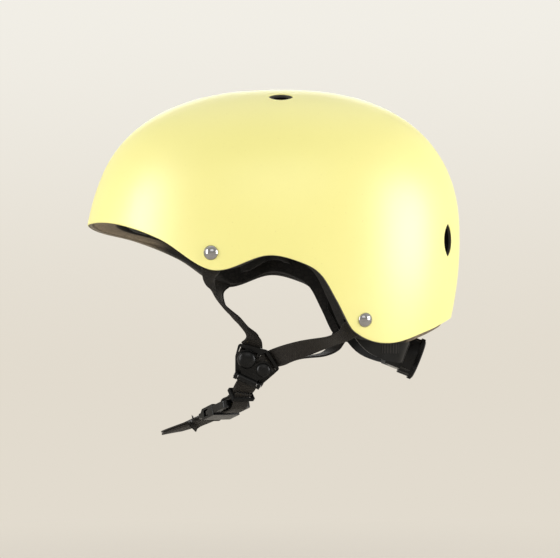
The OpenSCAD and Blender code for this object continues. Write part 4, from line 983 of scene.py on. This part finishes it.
LEFT_CHIN_KEYS = [
    on(DIVIDER, 0, LAP_Y - 0.3, PAIR_Z), on(DIVIDER, 0, -10, PAIR_Z - 0.1), on(DIVIDER, 0, -15, PAIR_Z - 0.3),
    on(BUCKLE, PLUG_X - 8.5, -0.4, UNDER_BAR - 2.6, wide=2, lean=HEM_LEAN),
    *through(BUCKLE, (PLUG_X - 2, UNDER_BAR), (SLOT_B - 3, UNDER_BAR), (SLOT_B - 0.6, UNDER_BAR + 0.9),
             (SLOT_B, UNDER_BAR + 2.8), (SLOT_B, 0.8))]
CHIN_A, CHIN_B = at(FAR_DIVIDER, (0, -16, PAIR_Z - 0.2)), at(BUCKLE, (LOOP_X + 8, 0, 0))
CHIN_LOW = vec(DIVIDER_AT[0] - 65.5, 0, DIVIDER_AT[2] - 50)
RIGHT_CHIN_KEYS = [
    on(FAR_DIVIDER, 0, LAP_Y - 0.3, PAIR_Z), on(FAR_DIVIDER, 0, -10, PAIR_Z - 0.1),
    on(FAR_DIVIDER, 0, -16, PAIR_Z - 0.2),
    *hang(CHIN_A, CHIN_LOW,
          (0.147, (4.4, 7.7, 0), (0.87, -0.25, -0.3)), (0.541, (11.5, 19.5, 0), (0.8, -0.55, -0.1)),
          (0.879, (6.4, 17.4, 0), (0.9, -0.35, 0.1)), (1, (0, 0, 0), (0.97, 0, 0.2))),
    *hang(CHIN_LOW, CHIN_B, (0.338, (0, -9.1, 0), (0.85, 0.5, 0.05))),
    *through(BUCKLE_BACK, (LOOP_X + 8, 0), (LOOP_X + 4, 0))]
TAIL_KEYS = [
    *through(BUCKLE, (SLOT_B, 1.2), (SLOT_B - 0.3, TAIL_Z - 0.9), (SLOT_B - 2, TAIL_Z), (PLUG_X + 1, TAIL_Z),
             (PLUG_X - 2.4, TAIL_Z - 1.4)),
    on(BUCKLE, PLUG_X - 6.5, -0.3, -2.4, wide=2), on(BUCKLE, PLUG_X - 10.4, -0.6, -4.4, wide=2, lean=HEM_LEAN)]


def build_straps():
    below = (at(DIVIDER, (0, LAP_Y, 0)), DIVIDER[2])
    for side, mirror, rear in (("left", False, REAR_KEYS), ("right", True, FAR_REAR_KEYS)):
        for place, keys in (("front", FRONT_KEYS), ("rear", rear)):
            webbing = strap(f"{side}_{place}_webbing", keys, mirror=mirror, clip=below)
            dress(webbing, WEBBING, "helmet", f"{side}_{place}_strap")
    chin = [strap("layer", LEFT_CHIN_KEYS, shift=s) for s in (-HALF_PAIR, HALF_PAIR)]
    dress(joined("left_chin_webbing", chin), WEBBING, "helmet", "left_chin_strap")
    dress(strap("tail_webbing", TAIL_KEYS, STRAP_W - 0.6), WEBBING, "helmet", "strap_tail")
    chin = [strap("layer", RIGHT_CHIN_KEYS, shift=s) for s in (-HALF_PAIR, HALF_PAIR)]
    reach_x, reach_z = BAR_HALF_W + SLIDE_GAP + STRAP_T / 2, BAR_HALF_T + SLIDE_GAP + STRAP_T / 2
    around = [(LOOP_X + 4.2, HALF_PAIR), (LOOP_X + 1.6, HALF_PAIR + 1.0), (BAR_X, reach_z)]
    around += [(BAR_X - reach_x * math.sin(t), reach_z * math.cos(t)) for t in np.radians((45, 90, 135))]
    around += [(x, -z) for x, z in around[2::-1]]
    chin.append(strap("loop", through(BUCKLE_BACK, *around)))
    right = dress(joined("right_chin_webbing", chin), WEBBING, None, "right_chin_strap")
    tuple(at(BUCKLE, (LOOP_X + 5, 0, 0)) * MM)
    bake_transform(right)


def stitch_tree():
    """Geometry Nodes: short thread stitches, end to end along every edge of a mesh."""
    tree = bpy.data.node_groups.new("thread_stitches", "GeometryNodeTree")
    tree.interface.new_socket("Rows", in_out="INPUT", socket_type="NodeSocketGeometry")
    for name, value in (("Pitch", 1.6), ("Stitch length", 1.25), ("Thread", 0.42)):
        tree.interface.new_socket(name, in_out="INPUT", socket_type="NodeSocketFloat").default_value = value * MM
    tree.interface.new_socket("Stitches", in_out="OUTPUT", socket_type="NodeSocketGeometry")
    g = Graph(tree)
    given = g.outs("NodeGroupInput")
    line = g.node("GeometryNodeMeshToCurve", {}, Mesh=given["Rows"])
    line = g.node("GeometryNodeResampleCurve", {"mode": "LENGTH"}, Curve=line, Length=given["Pitch"])
    bead = g.node("GeometryNodeMeshIcoSphere", {}, Radius=0.5, Subdivisions=2)
    size = g.node("ShaderNodeCombineXYZ", {}, given["Thread"], given["Thread"], given["Stitch length"])
    facing = g.node("FunctionNodeAlignRotationToVector", {"axis": "Z"}, Vector=g.node("GeometryNodeInputTangent"))
    beads = g.node("GeometryNodeInstanceOnPoints", {}, Points=line, Instance=bead, Rotation=facing, Scale=size)
    real = g.node("GeometryNodeRealizeInstances", {}, beads)
    g.node("NodeGroupOutput", {}, g.node("GeometryNodeSetMaterial", {}, Geometry=real, Material=THREAD[0]))
    return tree


STITCHES = stitch_tree()


def stitched(name, rows, pitch):
    """A mesh of thread stitches along rows of points in millimetres."""
    starts = np.cumsum([0] + [len(r) for r in rows])
    edges = [(k, k + 1) for a, b in zip(starts, starts[1:]) for k in range(a, b - 1)]
    mesh = bpy.data.meshes.new(name)
    mesh.from_pydata((np.vstack(rows) * MM).tolist(), edges, [])
    obj = linked(name, mesh)
    mod = obj.modifiers.new("stitches", "NODES")
    mod.node_group = STITCHES
    for item in STITCHES.interface.items_tree:
        if item.name == "Pitch":
            mod[item.identifier] = pitch * MM
    settled(obj).data.shade_smooth()
    return obj


def tack(keys, start, side, rows=5, mirror=False):
    """Rows of stitches across a strap, from start millimetres along it, on one of its faces."""
    path = run(keys, 12)
    centre, wide = path[:, :3], path[:, 3:]
    passed, along = lengths(centre), np.gradient(centre, axis=0)
    out = []
    for k in range(rows):
        c, w, forward = [np.array([np.interp(start + k * ROW_GAP, passed, line) for line in lines.T])
                         for lines in (centre, wide, along)]
        forward = unit(forward)
        w = unit(w - (w @ forward) * forward)
        lift = np.cross(w, forward) * side * (STRAP_T / 2 + 0.08)
        row = c + lift + np.linspace(-ROW_W / 2, ROW_W / 2, 9)[:, None] * w
        out.append(flip(row) if mirror else row)
    return out


def build_stitches():
    rows = []
    for mirror, rear in ((False, REAR_KEYS), (True, FAR_REAR_KEYS)):
        for keys, start in ((FRONT_KEYS, 21), (rear, 24)):
            for side in (-1, 1):
                rows += tack(keys, start, side, mirror=mirror)
    for side in (-1, 1):
        rows += tack(TAIL_KEYS, 17, side, rows=3)
    dress(stitched("strap_stitches", rows, 1.5), THREAD, "helmet")


def build_rivets():
    dome_h, foot = 2.6, 0.4
    big = (RIVET_R ** 2 + dome_h ** 2) / (2 * dome_h)
    radii = RIVET_R * np.linspace(0.08, 1, 14)
    profile = [(0, foot + dome_h)] + [(r, foot + dome_h - big + math.sqrt(big * big - r * r)) for r in radii]
    profile += [(RIVET_R, 0.2), (RIVET_R - 0.1, 0.05), (SHANK_R, 0.05), (SHANK_R, -WASHER_LOW - 0.1),
                (SHANK_R + 0.9, -WASHER_LOW - 0.1), (SHANK_R + 0.8, -WASHER_LOW - 0.9), (0, -WASHER_LOW - 0.9)]
    rivets = joined("domed_rivets", [lathe("rivet", profile, f, 48) for f in RIVETS])
    dress(soft_edges(rivets, 50), CHROME, "helmet", "strap_rivets")


# Name, CAD node, body, finish and edge of each moulded piece
MOULDED = [
    ("divider_plate_left", "left_divider_plate", "helmet", BLACK, 0.35),
    ("divider_plate_right", "right_divider_plate", "helmet", BLACK, 0.35),
    ("lever_left", "left_lock_lever", "left_lever", BLACK, 0.3),
    ("lever_right", "right_lock_lever", "right_lever", BLACK, 0.3),
    ("plug_body", "buckle_plug", "helmet", BLACK, 0.35),
    ("plug_prongs", "buckle_prongs", "helmet", BLACK, 0.25),
    ("socket_body", "buckle_socket", "socket", BLACK, 0.35),
    ("keeper_band", "strap_keeper", "helmet", RUBBER, 0.4),
    ("cradle_body", "cradle_housing", "cradle", BLACK, 0.4),
    ("cradle_lid", "cradle_cover", "cradle", BLACK, 0.25),
    ("knob", "dial_knob", "dial", BLACK, 0.2),
    ("arm_left", "left_arm", None, ARM_BLACK, 0.3),
    ("arm_right", "right_arm", None, ARM_BLACK, 0.3)]
LEVER_TOP = LAYER_2 + STRAP_T / 2 + SLIDE_GAP + 2.6


def dome(x, y, r, high, f):
    """A swollen lobe on the outer face of the lever."""
    arc = np.linspace(0.06, math.pi / 2, 10)
    profile = [(0, LEVER_TOP + high)] + [(r * math.sin(a), LEVER_TOP + high * math.cos(a) ** 0.8) for a in arc]
    profile += [(r, LEVER_TOP - 0.5), (0, LEVER_TOP - 0.5)]
    return lathe("dome", profile, (at(f, (x, y, 0)), *f[1:]), 40)


def build_rigid():
    for name, node, body, finish, edge in MOULDED:
        obj = moulded(name, node, edge)
        side = -1 if node.startswith("left") else 1
        if "lock_lever" in node:
            f = DIVIDER if side < 0 else mirrored(DIVIDER)
            domes = [dome(6.6 * side, 2.0, 6.6, 3.4, f), dome(-7.2 * side, 0.2, 5.2, 2.8, f)]
            obj = soft_edges(joined(name, [obj, *domes]), 50)
        dress(obj, finish, body, node)
        if not body:
            side * 0.066
            side * 0.042
            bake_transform(obj)
    for finish, names in ((STEEL, "rivet_washers left_lever_pin right_lever_pin cover_screws dial_screw"),
                          (GEAR, "drive_pinion click_spring"), (ARM_BLACK, "left_rack right_rack"),
                          (BLACK, "arm_studs stud_sockets")):
        for name in names.split():
            paint(nodes[name], finish)


def build_nape_pad():
    tilt = math.radians(DIAL_TILT)
    dial, over = vec(CROWN_X + REAR_LEN - DIAL_IN, 0, -REAR_DROP - DIAL_DOWN), vec(0, 1, 0)
    up, out = vec(math.sin(tilt), 0, math.cos(tilt)), vec(math.cos(tilt), 0, -math.sin(tilt))
    head_z = -DIAL_T - SLIDE_GAP - 1.8 - 2 * (0.2 + RACK_T) - 0.2 - 2.2
    half_w, half_h, back_r = CRADLE_W / 2 - 4, CRADLE_H / 2 - 2.5, NAPE_R - SEAT_GAP
    u, v = grid(64, 30)
    x, y = lerp(-half_w, half_w, u), lerp(-half_h, half_h, v)

    def spots(r):
        depth = head_z - NAPE_R + np.sqrt(r * r - x * x)
        return dial + x[..., None] * over + y[..., None] * up + depth[..., None] * out

    def off(p):
        return back_r - np.hypot((p - dial) @ out - head_z + NAPE_R, (p - dial) @ over)
    pad = cushion("nape_cushion", spots(back_r - pad_rise(u, v, NAPE_PAD_T)), spots(back_r), (x, y), off,
                  lambda p: ((p - dial) @ over + half_w) / (2 * half_w), 3, lambda p: out,
                  sink=0.4, swelling=1.2, voxel=2.0)
    dress(pad, FABRIC, "cradle", "nape_pad")


for build in (build_shell, build_liner, build_pads, build_straps, build_stitches, build_rivets, build_rigid,
              build_nape_pad):
    build()


# Studio, in metres
HORIZON, HIGH_WALL = srgb(226, 219, 206), srgb(242, 239, 231)
# Painted shade: the DIM colours darken the backdrop and the far floor towards the camera's side, -Y.
DIM_HORIZON, DIM_WALL = srgb(196, 190, 180), srgb(200, 196, 188)
FLOOR_Z, ROOM_LIGHT = -0.32, 0.27
# The camera stands level with EYE_Z and looks at AIM_Z. PIXEL is one of the frame's at the middle plane.
EYE_DISTANCE, EYE_X, EYE_Z, AIM_Z, PIXEL = 1.150, 0.0054, -0.1106, -0.0407, 0.000768
LAMPS = {  # place, aim, size and power
    "left_softbox": ((-1.3, -0.7, 0.22), (0, 0, -0.04), (0.5, 1.0), 13.5),
    "right_softbox": ((1.45, -0.55, 0.15), (0, 0, -0.05), (0.9, 0.9), 18),
    "front_softbox": ((0.1, -2.2, 1.1), (0, 0, -0.03), (1.5, 1.0), 7),
    "far_softbox": ((-0.1, 2.2, 1.1), (0, 0, -0.03), (1.5, 1.0), 12),
    "top_softbox": ((0.0, 0.4, 1.7), (0, 0, 0), (1.6, 1.6), 5)}


def build_floor():
    """Paper that takes light and shadow near the piece, and shows as the room's horizon further off."""
    paper = bpy.data.materials.new("pale_paper")
    paper.use_nodes = True
    g = Graph(paper.node_tree)
    x, y, _ = g.axes(g.node("ShaderNodeTexCoord", out="Object"))
    away = g.ramp(x.math("SQRT", x * x + y * y), 0.25, 1.0, kind="SMOOTHSTEP")
    dim = g.ramp(y, -3.0, -12.0, kind="SMOOTHSTEP")
    near = g.node("ShaderNodeBsdfDiffuse", {}, Color=srgb(246, 238, 225))
    far = g.node("ShaderNodeEmission", {}, Color=g.mix(dim, HORIZON, DIM_HORIZON))
    share = away * g.seen_by("Is Camera Ray", "Is Glossy Ray")
    g.node("ShaderNodeOutputMaterial", {}, Surface=g.node("ShaderNodeMixShader", {}, share, near, far))
    bm = bmesh.new()
    bmesh.ops.create_circle(bm, cap_ends=True, segments=128, radius=30)
    floor = from_bmesh("floor", bm)
    floor.location.z = FLOOR_Z
    floor.data.materials.append(paper)


def build_room():
    world = bpy.data.worlds.new("pale_room")
    bpy.context.scene.world = world
    world.use_nodes = True
    g = Graph(world.node_tree)
    shown = g.seen_by("Is Camera Ray", "Is Glossy Ray", "Is Transmission Ray")
    _, y, z = g.axes(g.node("ShaderNodeTexCoord", out="Generated"))
    rise = g.ramp(z, -0.02, 0.27, kind="SMOOTHSTEP")
    dim = g.ramp(y, -0.15, -0.75, kind="SMOOTHSTEP")
    wall = g.mix(dim, g.mix(rise, HORIZON, HIGH_WALL), g.mix(rise, DIM_HORIZON, DIM_WALL))
    lit = g.node("ShaderNodeBackground", {}, Color=(1, 1, 1, 1), Strength=ROOM_LIGHT)
    backdrop = g.node("ShaderNodeBackground", {}, Color=wall, Strength=1.0)
    g.node("ShaderNodeOutputWorld", {}, Surface=g.node("ShaderNodeMixShader", {}, shown, lit, backdrop))
    for name, (place, aim, size, power) in LAMPS.items():
        data = bpy.data.lights.new(name, "AREA")
        data.shape, data.size, data.size_y, data.energy = "RECTANGLE", *size, power
        lamp = linked(name, data)
        lamp.location = place
        lamp.rotation_euler = (Vector(place) - Vector(aim)).to_track_quat("Z", "Y").to_euler()


def build_camera():
    data = bpy.data.cameras.new("camera")
    camera = linked("camera", data)
    bpy.context.scene.camera = camera
    data.sensor_width, data.sensor_fit, data.lens = 36.0, "HORIZONTAL", 36 * EYE_DISTANCE / (560 * PIXEL)
    data.clip_start, data.clip_end = 0.01, 100
    camera.location = (EYE_X, -EYE_DISTANCE, EYE_Z)
    camera.rotation_euler = (math.pi / 2 + math.atan2(AIM_Z - EYE_Z, EYE_DISTANCE), 0, 0)
    bpy.context.scene.view_settings.view_transform = "Standard"


build_floor()
build_room()
build_camera()
